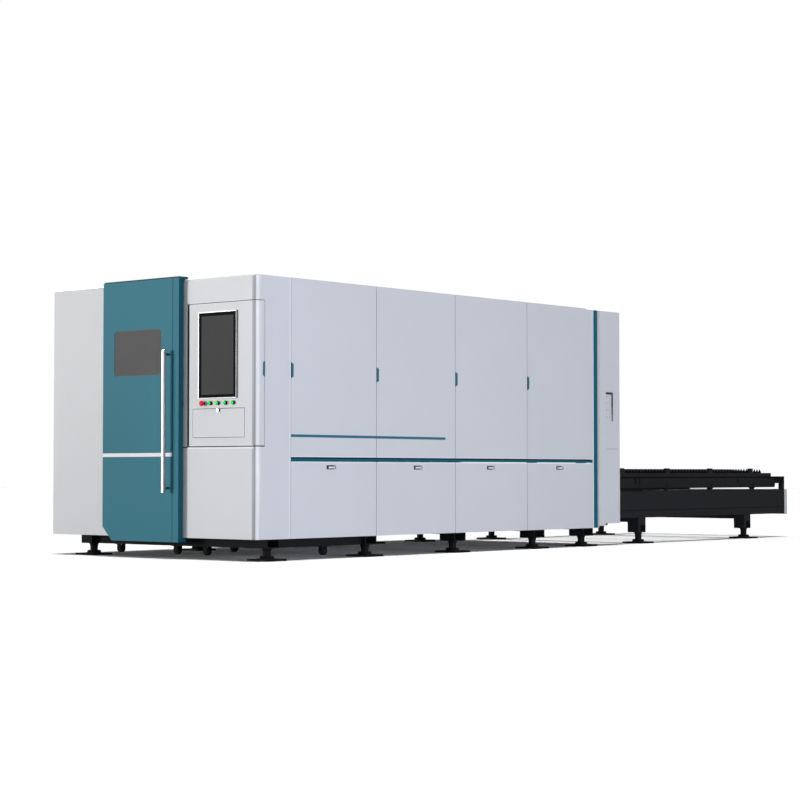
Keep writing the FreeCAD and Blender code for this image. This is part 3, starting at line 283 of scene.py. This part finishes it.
# ---------------------------------------------------------------- materials of the nodes
# Seams between the side doors, their pulls, the painted line, stripe and rail, and how wide a painted
# highlight along an edge is.
SEAM_X = (368.0, 1361.0, 2366.0, 3367.0, 4362.0)
PULL_Z = (1391.0, 1511.0)
PULL_REACH = 25.0
LINE_Z = (941.0, 961.5)
LINE_END_X = 2234.0
STRIPE_Z = (793.0, 822.0)
RAIL_Z = (756.0, 786.0)
EDGE_HIGHLIGHT_WIDTH = 9.0

# A panel's outer sheet, a depth that takes in its outer face alone, and its folded returns.
SKIN = 1.2
FACE = 0.6
RETURN_DEPTH = 30.0

# The finger cups of the drawers, and how far the painted shade along their rims reaches in.
SLOT_X = (827.0, 1881.0, 2850.0, 3851.0)
SLOT_Z = 710.0
SLOT_SIZE = (110.0, 31.0)
CUP_DEPTH = 40.0
CUP_BACK_Y = 15.0
CUP_TOP_SHADE = 10.0
CUP_FOOT_SHADE = 8.0
CUP_END_SHADE = 44.0


def node_box(name):
    """The corners of a node in the layout's millimetres."""
    return [Vector(corner) * 1000.0 + ORIGIN_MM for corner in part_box(name)]


def seal_shade_patches(name, depth_axis, colour=SEAL_SHADE):
    """Dark returns that face a neighbour, behind the skin of a panel: rubber seals, painted dark to stand
    in for the shade in the gaps.
    """
    low, high = node_box(name)
    patches = []
    for axis in (0, 1, 2):
        if axis == depth_axis:
            continue
        for limit, near in ((low[axis] + FACE, True), (high[axis] - FACE, False)):
            start, end = [None] * 3, [None] * 3
            start[depth_axis] = SKIN
            end[depth_axis] = RETURN_DEPTH
            if near:
                end[axis] = limit
            else:
                start[axis] = limit
            patches.append((start, end, colour))
    return patches


# Dark seams along the table's near beam and the pallet's side, and the lifting hooks.
BEAM_SEAM_Z = (309.5, 315.0)
BEAM_TOP_Z = (491.0, 499.0)
BEAM_TOP_END_X = 7865.0
BEAM_NEAR_Y = 70.0
PALLET_SEAM_Z = (612.0, 628.0)
PALLET_FOOT_Z = (514.0, 521.0)
HOOK_Z = (560.0, 612.0)
HOOK_NEAR_Y = 121.0
HOOKS_X = ((5207.0, 5236.0), (5288.0, 5311.0), (7071.0, 7096.0))
SEAM_BLACK = rgb(9, 9, 9)

black_paint = painted("black_frame_paint", BLACK_PAINT, roughness=0.55, gloss=0.03, grain=1.4,
                      variation=0.06, edge=rgb(52, 52, 54))
beam_paint = painted("table_beam_paint", rgb(37, 37, 39), [
    ((None, None, BEAM_SEAM_Z[0]), (None, BEAM_NEAR_Y, BEAM_SEAM_Z[1]), scaled(BLACK_PAINT, 0.3)),
    ((None, None, BEAM_TOP_Z[0]), (BEAM_TOP_END_X, BEAM_NEAR_Y, BEAM_TOP_Z[1]), scaled(BLACK_PAINT, 0.3)),
], roughness=0.55, gloss=0.03, grain=1.4, variation=0.06)
pallet_paint = painted("pallet_paint", rgb(35, 35, 36), [
    ((None, None, PALLET_SEAM_Z[0]), (None, None, PALLET_SEAM_Z[1]), SEAM_BLACK),
    ((None, None, PALLET_FOOT_Z[0]), (None, None, PALLET_FOOT_Z[1]), SEAM_BLACK),
] + [((x0, None, HOOK_Z[0]), (x1, HOOK_NEAR_Y, HOOK_Z[1]), rgb(7, 7, 7)) for x0, x1 in HOOKS_X],
    roughness=0.55, gloss=0.03, grain=1.6, variation=0.08)

# The corner strip's white edge, and the painted shadow along the side rail's upper flange.
STRIP_EDGE_X = SEAM_X[4] + 9.0
RAIL_SHADOW_Z = 777.0
strip_paint = painted("corner_strip_paint", DEEP_TEAL, [
    ((None, None, None), (STRIP_EDGE_X, None, None), rgb(250, 248, 250)),
], gloss=0.08)
rail_paint = painted("side_rail_paint", DEEP_TEAL, [
    ((None, None, RAIL_SHADOW_Z), (None, None, None), rgb(3, 5, 7)),
], gloss=0.1)

# The sliding door: painted shade on its near return and top fold, and along the fold that runs up its
# face.
DOOR_SHADE = rgb(14, 74, 88)
DOOR_RETURN_Y = 798.5
DOOR_TOP_Z = 2181.0
DOOR_FOLD_SHADE_Y = (863.5, 869.5)
DOOR_FACE_X = -53.0
STRIPE_START_Y = 866.0
door_paint = painted("door_paint", TEAL, [
    ((None, None, None), (None, DOOR_RETURN_Y, None), DOOR_SHADE),
    ((None, None, DOOR_TOP_Z), (None, None, None), DOOR_SHADE),
    ((None, DOOR_FOLD_SHADE_Y[0], None), (None, DOOR_FOLD_SHADE_Y[1], None), scaled(TEAL, 0.35)),
    ((None, STRIPE_START_Y, STRIPE_Z[0]), (DOOR_FACE_X, None, STRIPE_Z[1]), rgb(255, 252, 255)),
], gloss=0.1)
inner_paint = painted("inner_paint", rgb(92, 94, 98), roughness=0.55, gloss=0.2, edge=rgb(120, 121, 124))
slat_metal = painted("slat_metal", rgb(16, 16, 16), roughness=0.6, gloss=0.05, grain=2.0, variation=0.25,
                     edge=rgb(60, 58, 55))
steel = metal("ground_steel", (0.55, 0.55, 0.56, 1.0), 0.3, (0.02, 1.0, 1.0))
dark_steel = cast("dark_steel", rgb(22, 22, 23), 0.5, 0.05)
alloy = metal("head_alloy", (0.6, 0.6, 0.62, 1.0), 0.35)
copper = metal("nozzle_copper", (0.75, 0.38, 0.2, 1.0), 0.25)
cast_black = cast("cast_black", rgb(16, 16, 17), gloss=0.06)
rubber = cast("wheel_rubber", rgb(24, 24, 25), 0.7, 0.05)
collar_black = plastic("collar_plastic", rgb(10, 8, 10), 0.5, gloss=0.05)
red_cap = plastic("red_cap", rgb(226, 20, 28), 0.4, 0.02, gloss=0.1)
green_cap = plastic("green_cap", rgb(20, 255, 74), 0.4, 0.02, gloss=0.1)


# The window pane inside its rim, and the screen inside its black border.
PANE_LOW, PANE_HIGH = (None, 1001.0, 1439.0), (None, 1539.0, 1785.0)
LIT_LOW, LIT_HIGH = (None, 243.0, 1265.0), (None, 590.0, 1869.0)

# The monitor's gasket, the handle's posts, the lock's side with painted shade, and the flap's folds with a
# painted highlight.
GASKET_X = (-6.0, 0.5)
HANDLE_POST_X = -91.5
LOCK_SHADE = 3.5
FLAP_FOLD_HIGHLIGHT = 5.0


def window_material():
    """A smoked, nearly opaque pane with a lighter rim."""
    g = Graph("window_glass")
    haze = g.noise(3.0, 3.0)
    pane = g.inside(PANE_LOW, PANE_HIGH)
    glass = g.blend(g.vary(haze, 0.0, 1.0), rgb(96, 96, 96), rgb(100, 100, 101))
    g.link(g.blend(pane, rgb(118, 106, 102), glass), g.shader.inputs["Base Color"])
    g.link(g.vary(haze, 0.5, 0.56), g.shader.inputs["Roughness"])
    g.set(Specular_IOR_Level=0.06, Transmission_Weight=0.06)
    return g.material


def screen_material():
    """A dark grey screen with a black border."""
    g = Graph("monitor_screen")
    lit = g.inside(LIT_LOW, LIT_HIGH)
    haze = g.noise(2.0, 2.0)
    glass = g.blend(g.vary(haze, 0.0, 1.0), rgb(73, 73, 73), rgb(79, 79, 79))
    g.link(g.blend(lit, rgb(3, 3, 3), glass), g.shader.inputs["Base Color"])
    g.link(g.vary(haze, 0.55, 0.62), g.shader.inputs["Roughness"])
    g.set(Specular_IOR_Level=0.04)
    return g.material


def monitor_look():
    """Silver frame with a painted highlight on its front, painted shade on its sill, near rim and near
    side, and a dark gasket line.
    """
    low = node_box("monitor_housing")[0]
    face_x, side_y, sill_z = low[0] + 2.0, low[1] + 8.0, low[2] + 9.0
    g = Graph("monitor_silver")
    streak = g.noise(60.0, 4.0, 0.6, (1.0, 1.0, 0.05))
    shade = g.blend(g.vary(streak, 0.0, 1.0), rgb(208, 208, 211), rgb(222, 222, 225))
    # painted highlight on the front, painted shade on the sill, near side and near rim, then the gasket
    for start, end, colour in (
            ((None, side_y, None), (face_x, None, None), rgb(252, 252, 253)),
            ((None, side_y, None), (face_x, None, sill_z), rgb(196, 196, 199)),
            ((face_x, None, None), (-1.0, side_y + 1.0, None), rgb(92, 93, 96)),
            ((None, None, None), (face_x, side_y, None), rgb(134, 134, 137)),
            ((GASKET_X[0], None, None), (GASKET_X[1], None, None), rgb(26, 26, 28))):
        shade = g.blend(g.inside(start, end), shade, colour)
    g.link(shade, g.shader.inputs["Base Color"])
    g.link(g.vary(streak, 0.3, 0.42), g.shader.inputs["Roughness"])
    g.set(Metallic=0.15, Specular_IOR_Level=0.5)
    g.bump(streak, 0.05, 0.0002)
    return g.material


def handle_look():
    """A bright bar with painted shade on its near side, and dark posts."""
    low = node_box("sliding_door_handle")[0]
    return metal("handle_metal", (0.92, 0.92, 0.93, 1.0), 0.28, (1.0, 1.0, 0.02), (
        # painted shade on the bar's near side; the posts are dark of their own
        ((None, None, None), (None, low[1] + 4.0, None), rgb(96, 97, 100)),
        ((HANDLE_POST_X, None, None), (None, None, None), rgb(34, 34, 36)),
    ))


def lock_look():
    """Chrome with painted shade on its near side."""
    low, high = node_box("flap_lock")
    middle = (low[1] + high[1]) / 2
    return metal("lock_chrome", (0.9, 0.9, 0.91, 1.0), 0.12, dull_and_shaded=(
        ((None, None, None), (None, middle + LOCK_SHADE, None), rgb(30, 30, 32)),))


def flap_look():
    """Grey paint with a painted highlight along its lower and far folded edges."""
    low, high = node_box("keyboard_flap")
    return panel_look("keyboard_flap", 0, [
        ((None, low[1] + 1.0, low[2] + 1.0), (FACE, high[1] - 1.0, low[2] + FLAP_FOLD_HIGHLIGHT), EDGE_HIGHLIGHT),
        ((None, high[1] - FLAP_FOLD_HIGHLIGHT, low[2] + 1.0), (FACE, high[1] - 1.0, high[2] - 1.0), EDGE_HIGHLIGHT),
    ], seal_shade=rgb(30, 30, 32))


window_glass = window_material()
screen_glass = screen_material()
silver = monitor_look()


def panel_look(name, depth_axis, patches=(), seal_shade=SEAL_SHADE):
    """Grey paint with rubber seals on the returns, painted dark as the shade in the gaps, and worn edges
    that paint a highlight.
    """
    return painted(name + "_paint", PANEL, seal_shade_patches(name, depth_axis, seal_shade) + list(patches),
                   edge=EDGE_HIGHLIGHT)


def side_door_look(number):
    """Grey paint with the teal pull, a painted highlight along its lower edge, and the thin teal line on
    the first two doors.
    """
    left, right = SEAM_X[number - 1], SEAM_X[number]
    patches = [((None, None, None), (None, FACE, RAIL_Z[1] + EDGE_HIGHLIGHT_WIDTH), EDGE_HIGHLIGHT),
               ((None, None, PULL_Z[0] - 1), (left + PULL_REACH, -0.2, PULL_Z[1] + 1), DEEP_TEAL)]
    if left < LINE_END_X:
        end = min(right, LINE_END_X)
        patches.append(((None, None, LINE_Z[0]), (end, 0.5, LINE_Z[1]), DEEP_TEAL))
    return panel_look("side_door_%d" % number, 1, patches)


def drawer_look(number):
    """Grey paint with a painted highlight along its top; the finger cup has painted shade along its top
    and bottom, a painted shadow at its left end, and a painted highlight inside.
    """
    x, half = SLOT_X[number - 1], SLOT_SIZE[0] / 2
    z0, z1 = SLOT_Z - SLOT_SIZE[1] / 2, SLOT_Z + SLOT_SIZE[1] / 2
    # rim: painted shade along the cup's top and bottom
    rim = rgb(44, 44, 46)
    patches = [
        ((None, None, RAIL_Z[0] - EDGE_HIGHLIGHT_WIDTH - 2.0), (None, FACE, None), EDGE_HIGHLIGHT),
        # painted highlight inside the cup, then painted shade along its top and foot and a painted shadow
        # at its left end
        ((x - half - 1.0, SKIN, z0 - 1.0), (x + half + 1.0, CUP_DEPTH, z1 + 1.0), rgb(252, 252, 254)),
        ((x - half - 1.0, None, z1 - CUP_TOP_SHADE), (x + half - 2.0, CUP_DEPTH, z1 + 1.0), rim),
        ((x - half - 1.0, None, z0 - 1.0), (x + half - 2.0, CUP_DEPTH, z0 + CUP_FOOT_SHADE), rim),
        ((x - half - 3.0, CUP_BACK_Y, z0 - 1.0),
         (x - half + CUP_END_SHADE, CUP_DEPTH, z1 + 1.0), rgb(20, 20, 22)),
    ]
    return panel_look("lower_drawer_%d" % number, 1, patches)


# The end control box: its flange, the painted shadow along its top, the band of painted shade on its far
# side and that band's steps.
CONTROL_FLANGE = 14.0
CONTROL_TOP_SHADOW = 20.0
CONTROL_SHADE_BAND = 12.0
CONTROL_SHADE_STEP = 70.0


def control_box_look():
    """A pale keypad in a pocket, with a painted shadow along the pocket's top and a band of painted shade
    on its far side that darkens upward.
    """
    low, high = node_box("end_control_box")
    edge_x, edge_z = high[0] - CONTROL_FLANGE - 1.0, high[2] - CONTROL_FLANGE - 1.0
    middle = (low[2] + high[2]) / 2
    shade_x = edge_x - CONTROL_SHADE_BAND
    return painted("control_box_paint", PANEL, [
        ((None, None, edge_z - CONTROL_TOP_SHADOW), (edge_x, None, edge_z), rgb(2, 2, 2)),
        ((shade_x, None, middle), (edge_x, None, edge_z), rgb(104, 104, 108)),
        ((shade_x, None, middle - CONTROL_SHADE_STEP), (edge_x, None, middle), rgb(128, 128, 132)),
        ((shade_x, None, None), (edge_x, None, middle - CONTROL_SHADE_STEP), rgb(156, 156, 160)),
    ])


# The console door, and the gap between it and the sliding door, painted black as its shadow.
CONSOLE_Z = (868.0, 1968.0)
CONSOLE_HINGE_Y = 753.0
CONSOLE_RETURN = 18.0
CONSOLE_FOOT = 4.5
CONSOLE_PULL_X = 60.0
GAP_Y = (752.0, 832.0)
GAP_DEPTH = 31.0
GAP_TOP_Z = 1980.0

# The end side panel: its access seam and the end of its recess.
ACCESS_SEAM_Z = (883.5, 888.5)
ACCESS_SEAM_X = (4586.0, 4756.0)
RECESS_END_X = 4474.0

# Painted shade and painted highlight bands on the rounded corner: colour, low y, high y and depth.
CORNER_SHADE_AND_HIGHLIGHT = ((rgb(160, 162, 166), 22.0, 53.0, 14.0), (rgb(243, 243, 245), 5.0, 20.0, 30.0))


def corner_shade_and_highlight():
    """The painted shade band and the painted highlight line that run up the rounded corner."""
    return [((None, start, None), (depth, end, None), colour)
            for colour, start, end, depth in CORNER_SHADE_AND_HIGHLIGHT]


def cabinet_look():
    """Grey paint with the corner's painted shade and highlight; painted shadow fills the slot beside the
    console door and the strip below it, and painted highlight lines run along the edges that meet it.
    """
    return painted("cabinet_paint", PANEL, corner_shade_and_highlight() + [
        ((None, GAP_Y[0], CONSOLE_Z[0] - 8.0), (2.0, GAP_Y[1], CONSOLE_Z[0] + 0.5), SEAL_SHADE),
        ((None, CONSOLE_HINGE_Y - 4.0, CONSOLE_Z[0] - 4.0),
         (GAP_DEPTH, CONSOLE_HINGE_Y + 5.0, GAP_TOP_Z), rgb(1, 1, 1)),
        ((None, None, CONSOLE_Z[0] - 18.0), (FACE, CONSOLE_HINGE_Y, CONSOLE_Z[0] - 5.0), EDGE_HIGHLIGHT),
        ((SEAM_X[0] - 14.0, None, None), (None, FACE, None), EDGE_HIGHLIGHT),
    ], edge=EDGE_HIGHLIGHT)


LOOKS = {
    "bed_frame": black_paint, "caster_forks": black_paint, "enclosure_frame": inner_paint,
    "table_frame": beam_paint, "upper_pallet_frame": pallet_paint, "lower_pallet": pallet_paint,
    "upper_pallet_slats": slat_metal, "upper_pallet_wheels": dark_steel, "gantry_rails": steel,
    "gear_racks": steel, "pallet_tracks": steel, "foot_bases": cast_black, "foot_nuts": dark_steel,
    "foot_screws": dark_steel, "front_left_panel": panel_look("front_left_panel", 0),
    "operator_cabinet_shell": cabinet_look(),
    "roof_panel": painted("roof_paint", PANEL), "far_side_panel": panel_look("far_side_panel", 1),
    "rear_portal_panel": painted("rear_paint", PANEL, edge=EDGE_HIGHLIGHT), "corner_strip": strip_paint,
    "end_side_panel": painted("end_panel_paint", PANEL, [
        ((None, None, None), (RECESS_END_X - 2.0, None, None), rgb(184, 180, 179)),
        # painted highlight on the recess's end wall, which lies in shade
        ((RECESS_END_X - 2.0, 1.0, None), (RECESS_END_X + 0.5, None, None), rgb(246, 248, 248)),
        ((ACCESS_SEAM_X[0], None, ACCESS_SEAM_Z[0]),
         (ACCESS_SEAM_X[1], 2.0, ACCESS_SEAM_Z[1]), rgb(150, 152, 158)),
    ]),
    "end_control_box": control_box_look(),
    "lower_side_rail": rail_paint, "sliding_door_shell": door_paint, "sliding_door_window": window_glass,
    "sliding_door_handle": handle_look(), "sliding_door_rail": steel, "sliding_door_hangers": dark_steel,
    "console_door_shell": panel_look("console_door_shell", 0, corner_shade_and_highlight() + [
        # painted shadow on the return beside the slot, then the teal pull, a painted highlight along the
        # foot and painted shade on the foot's lowest strip
        ((None, CONSOLE_HINGE_Y - CONSOLE_RETURN, None), (None, None, None), rgb(1, 1, 1)),
        ((CONSOLE_PULL_X, None, PULL_Z[0] - 1), (None, -0.2, PULL_Z[1] + 1), DEEP_TEAL),
        ((None, None, None), (FACE, None, CONSOLE_Z[0] + EDGE_HIGHLIGHT_WIDTH), EDGE_HIGHLIGHT),
        ((None, None, None), (None, None, CONSOLE_Z[0] + CONSOLE_FOOT), rgb(44, 45, 48)),
    ], seal_shade=rgb(12, 12, 13)),
    "monitor_housing": silver, "monitor_screen": screen_glass,
    "button_collars": collar_black, "emergency_stop_button": red_cap,
    "keyboard_flap": flap_look(),
    "flap_lock": lock_look(), "electrical_cabinet": inner_paint, "laser_source": inner_paint,
    "gantry_beam": inner_paint, "cross_carriage": black_paint, "cutting_head": alloy, "nozzle": copper,
    "table_end_panel": painted("table_end_paint", rgb(200, 201, 205)),
}
for index in range(1, 5):
    LOOKS["side_door_%d" % index] = side_door_look(index)
    LOOKS["lower_drawer_%d" % index] = drawer_look(index)
    LOOKS["start_button_%d" % index] = green_cap
for index in range(1, 6):
    LOOKS["caster_wheel_%d" % index] = rubber

SOFT_EDGE_MM = {
    "sliding_door_shell": 2.0, "operator_cabinet_shell": 0.8, "front_left_panel": 1.2, "roof_panel": 1.0,
    "far_side_panel": 1.5, "rear_portal_panel": 1.2, "end_side_panel": 1.0, "corner_strip": 1.0,
    "console_door_shell": 0.8, "keyboard_flap": 1.0, "monitor_housing": 1.2, "bed_frame": 2.0,
    "table_frame": 2.0, "upper_pallet_frame": 1.5, "foot_bases": 1.5, "table_end_panel": 1.5,
    "lower_side_rail": 0.8,
}
for index in range(1, 5):
    SOFT_EDGE_MM["side_door_%d" % index] = 1.0
    SOFT_EDGE_MM["lower_drawer_%d" % index] = 1.0


WELD_DISTANCE = 0.00001
SHARP_DEGREES = 50


def dress_node(name):
    """Gives a node its material and, where it has one, a small soft edge."""
    item = nodes[name]
    item.data.materials.clear()
    item.data.materials.append(LOOKS[name])
    width = SOFT_EDGE_MM.get(name)
    if width:
        weld = item.modifiers.new("weld", "WELD")
        weld.merge_threshold = WELD_DISTANCE
        bevel = item.modifiers.new("edge", "BEVEL")
        bevel.width = width / 1000.0
        bevel.segments = 2
        bevel.limit_method = "ANGLE"
        bevel.angle_limit = math.radians(SHARP_DEGREES)
        bevel.use_clamp_overlap = True
        bevel.harden_normals = False


for name in nodes:
    dress_node(name)

# ---------------------------------------------------------------- support slats
SLAT_COUNT = 55
TOOTH_PITCH = 0.0304
TOOTH_HEIGHT = 0.029
SLAT_THICKNESS = 0.004
SEAT_BELOW_TOP = 0.039
SHOULDER = 0.027


def slat_outline(y0, y1, z0, z1):
    """The rim of one slat on edge as (y, z) points, with pointed teeth along its top."""
    seat = z1 - SEAT_BELOW_TOP
    rim = [(y0, seat), (y0 + SHOULDER, seat), (y0 + SHOULDER, z0),
           (y1 - SHOULDER, z0), (y1 - SHOULDER, seat), (y1, seat)]
    count = round((y1 - y0) / TOOTH_PITCH)
    pitch = (y1 - y0) / count
    for number in range(count):
        start = y1 - pitch * number
        rim.append((start, z1 - TOOTH_HEIGHT))
        rim.append((start - pitch / 2, z1))
    rim.append((y0, z1 - TOOTH_HEIGHT))
    return rim


def make_slats():
    """The upper pallet's slats with all their teeth, in place of the plainer solids."""
    low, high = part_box("upper_pallet_slats")
    rim = slat_outline(low[1], high[1], low[2], high[2])
    pitch = (high[0] - low[0] - SLAT_THICKNESS) / (SLAT_COUNT - 1)
    bm = bmesh.new()
    for number in range(SLAT_COUNT):
        x = low[0] + pitch * number
        front = [bm.verts.new((x, y, z)) for y, z in rim]
        back = [bm.verts.new((x + SLAT_THICKNESS, y, z)) for y, z in rim]
        bm.faces.new(front)
        bm.faces.new(back[::-1])
        for index in range(len(rim)):
            follow = (index + 1) % len(rim)
            bm.faces.new((front[follow], front[index], back[index], back[follow]))
    bmesh.ops.recalc_face_normals(bm, faces=bm.faces)
    mesh = bpy.data.meshes.new("toothed_slats")
    bm.to_mesh(mesh)
    bm.free()
    mesh.materials.append(slat_metal)
    slats = bpy.data.objects.new("toothed_slats", mesh)
    scene.collection.objects.link(slats)
    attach(slats, "upper_pallet")
    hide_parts("upper_pallet_slats")


make_slats()

# ---------------------------------------------------------------- floor and light
FLOOR_WHITE = (0.93, 0.93, 0.93, 1.0)
FLOOR_BOUNCE = (0.42, 0.42, 0.42, 1.0)
FLOOR_GLOW = 0.025
FLOOR_HALF = 60.0
FLOOR_DROP = 0.0005


def make_floor():
    """A pale floor that the camera sees nearly white and other rays see darker."""
    mesh = bpy.data.meshes.new("floor")
    bm = bmesh.new()
    corners = ((-1, -1), (1, -1), (1, 1), (-1, 1))
    bm.faces.new([bm.verts.new(Vector((x * FLOOR_HALF, y * FLOOR_HALF, -FLOOR_DROP))) for x, y in corners])
    bm.to_mesh(mesh)
    bm.free()
    floor = bpy.data.objects.new("floor", mesh)
    scene.collection.objects.link(floor)
    material = bpy.data.materials.new("floor")
    material.use_nodes = True
    tree = material.node_tree
    tree.nodes.clear()
    output = tree.nodes.new("ShaderNodeOutputMaterial")
    diffuse = tree.nodes.new("ShaderNodeBsdfDiffuse")
    diffuse.inputs["Color"].default_value = FLOOR_WHITE
    bounce = tree.nodes.new("ShaderNodeBsdfDiffuse")
    bounce.inputs["Color"].default_value = FLOOR_BOUNCE
    glow = tree.nodes.new("ShaderNodeEmission")
    glow.inputs["Color"].default_value = (1.0, 1.0, 1.0, 1.0)
    path = tree.nodes.new("ShaderNodeLightPath")
    seen = tree.nodes.new("ShaderNodeMath")
    seen.operation = "MULTIPLY"
    seen.inputs[1].default_value = FLOOR_GLOW
    tree.links.new(path.outputs["Is Camera Ray"], seen.inputs[0])
    tree.links.new(seen.outputs[0], glow.inputs["Strength"])
    both = tree.nodes.new("ShaderNodeAddShader")
    either = tree.nodes.new("ShaderNodeMixShader")
    tree.links.new(path.outputs["Is Camera Ray"], either.inputs[0])
    tree.links.new(bounce.outputs[0], either.inputs[1])
    tree.links.new(diffuse.outputs[0], either.inputs[2])
    tree.links.new(either.outputs[0], both.inputs[0])
    tree.links.new(glow.outputs[0], both.inputs[1])
    tree.links.new(both.outputs[0], output.inputs["Surface"])
    mesh.materials.append(material)


WORLD_LIGHT = 0.15


def make_world():
    """White behind the object and in its reflections, and a low even light elsewhere."""
    world = bpy.data.worlds.new("studio")
    scene.world = world
    world.use_nodes = True
    tree = world.node_tree
    tree.nodes.clear()
    output = tree.nodes.new("ShaderNodeOutputWorld")
    background = tree.nodes.new("ShaderNodeBackground")
    background.inputs["Color"].default_value = (1.0, 1.0, 1.0, 1.0)
    path = tree.nodes.new("ShaderNodeLightPath")
    strength = tree.nodes.new("ShaderNodeMapRange")
    strength.inputs["To Min"].default_value = WORLD_LIGHT
    strength.inputs["To Max"].default_value = 1.0
    either = tree.nodes.new("ShaderNodeMath")
    either.operation = "MAXIMUM"
    any_of = tree.nodes.new("ShaderNodeMath")
    any_of.operation = "MAXIMUM"
    tree.links.new(path.outputs["Is Camera Ray"], either.inputs[0])
    tree.links.new(path.outputs["Is Transmission Ray"], either.inputs[1])
    tree.links.new(either.outputs[0], any_of.inputs[0])
    tree.links.new(path.outputs["Is Glossy Ray"], any_of.inputs[1])
    tree.links.new(any_of.outputs[0], strength.inputs["Value"])
    tree.links.new(strength.outputs[0], background.inputs["Strength"])
    tree.links.new(background.outputs[0], output.inputs["Surface"])


def make_sun(name, direction, strength, angle, colour):
    """A soft distant lamp that shines along direction."""
    data = bpy.data.lights.new(name, "SUN")
    data.energy = strength
    data.angle = math.radians(angle)
    data.color = colour
    lamp = bpy.data.objects.new(name, data)
    lamp.rotation_mode = "QUATERNION"
    lamp.rotation_quaternion = Vector(direction).to_track_quat("-Z", "Y")
    scene.collection.objects.link(lamp)


def make_lamp(name, place, target, strength, size, colour):
    """A round lamp at a stand; strength is the light that reaches the target."""
    data = bpy.data.lights.new(name, "AREA")
    data.shape = "DISK"
    data.size = size
    data.energy = strength * math.pi * (target - place).length ** 2
    data.color = colour
    lamp = bpy.data.objects.new(name, data)
    lamp.location = place
    lamp.rotation_mode = "QUATERNION"
    lamp.rotation_quaternion = (target - place).to_track_quat("-Z", "Y")
    scene.collection.objects.link(lamp)


SIDE_LAMP_AT = at(-1500.0, -16000.0, 1500.0)
SIDE_LAMP_TARGET = at(-1500.0, 0.0, 1000.0)

make_floor()
make_world()
make_sun("front_light", direction=(0.78, -0.59, -0.02), strength=2.47, angle=16.0,
         colour=(1.0, 0.995, 0.985))
make_lamp("side_light", SIDE_LAMP_AT, SIDE_LAMP_TARGET, strength=2.02, size=2.2,
          colour=(0.80, 0.86, 0.985))
make_sun("top_light", direction=(0.0, 0.0, -1.0), strength=2.72, angle=7.0,
         colour=(1.0, 1.0, 1.0))
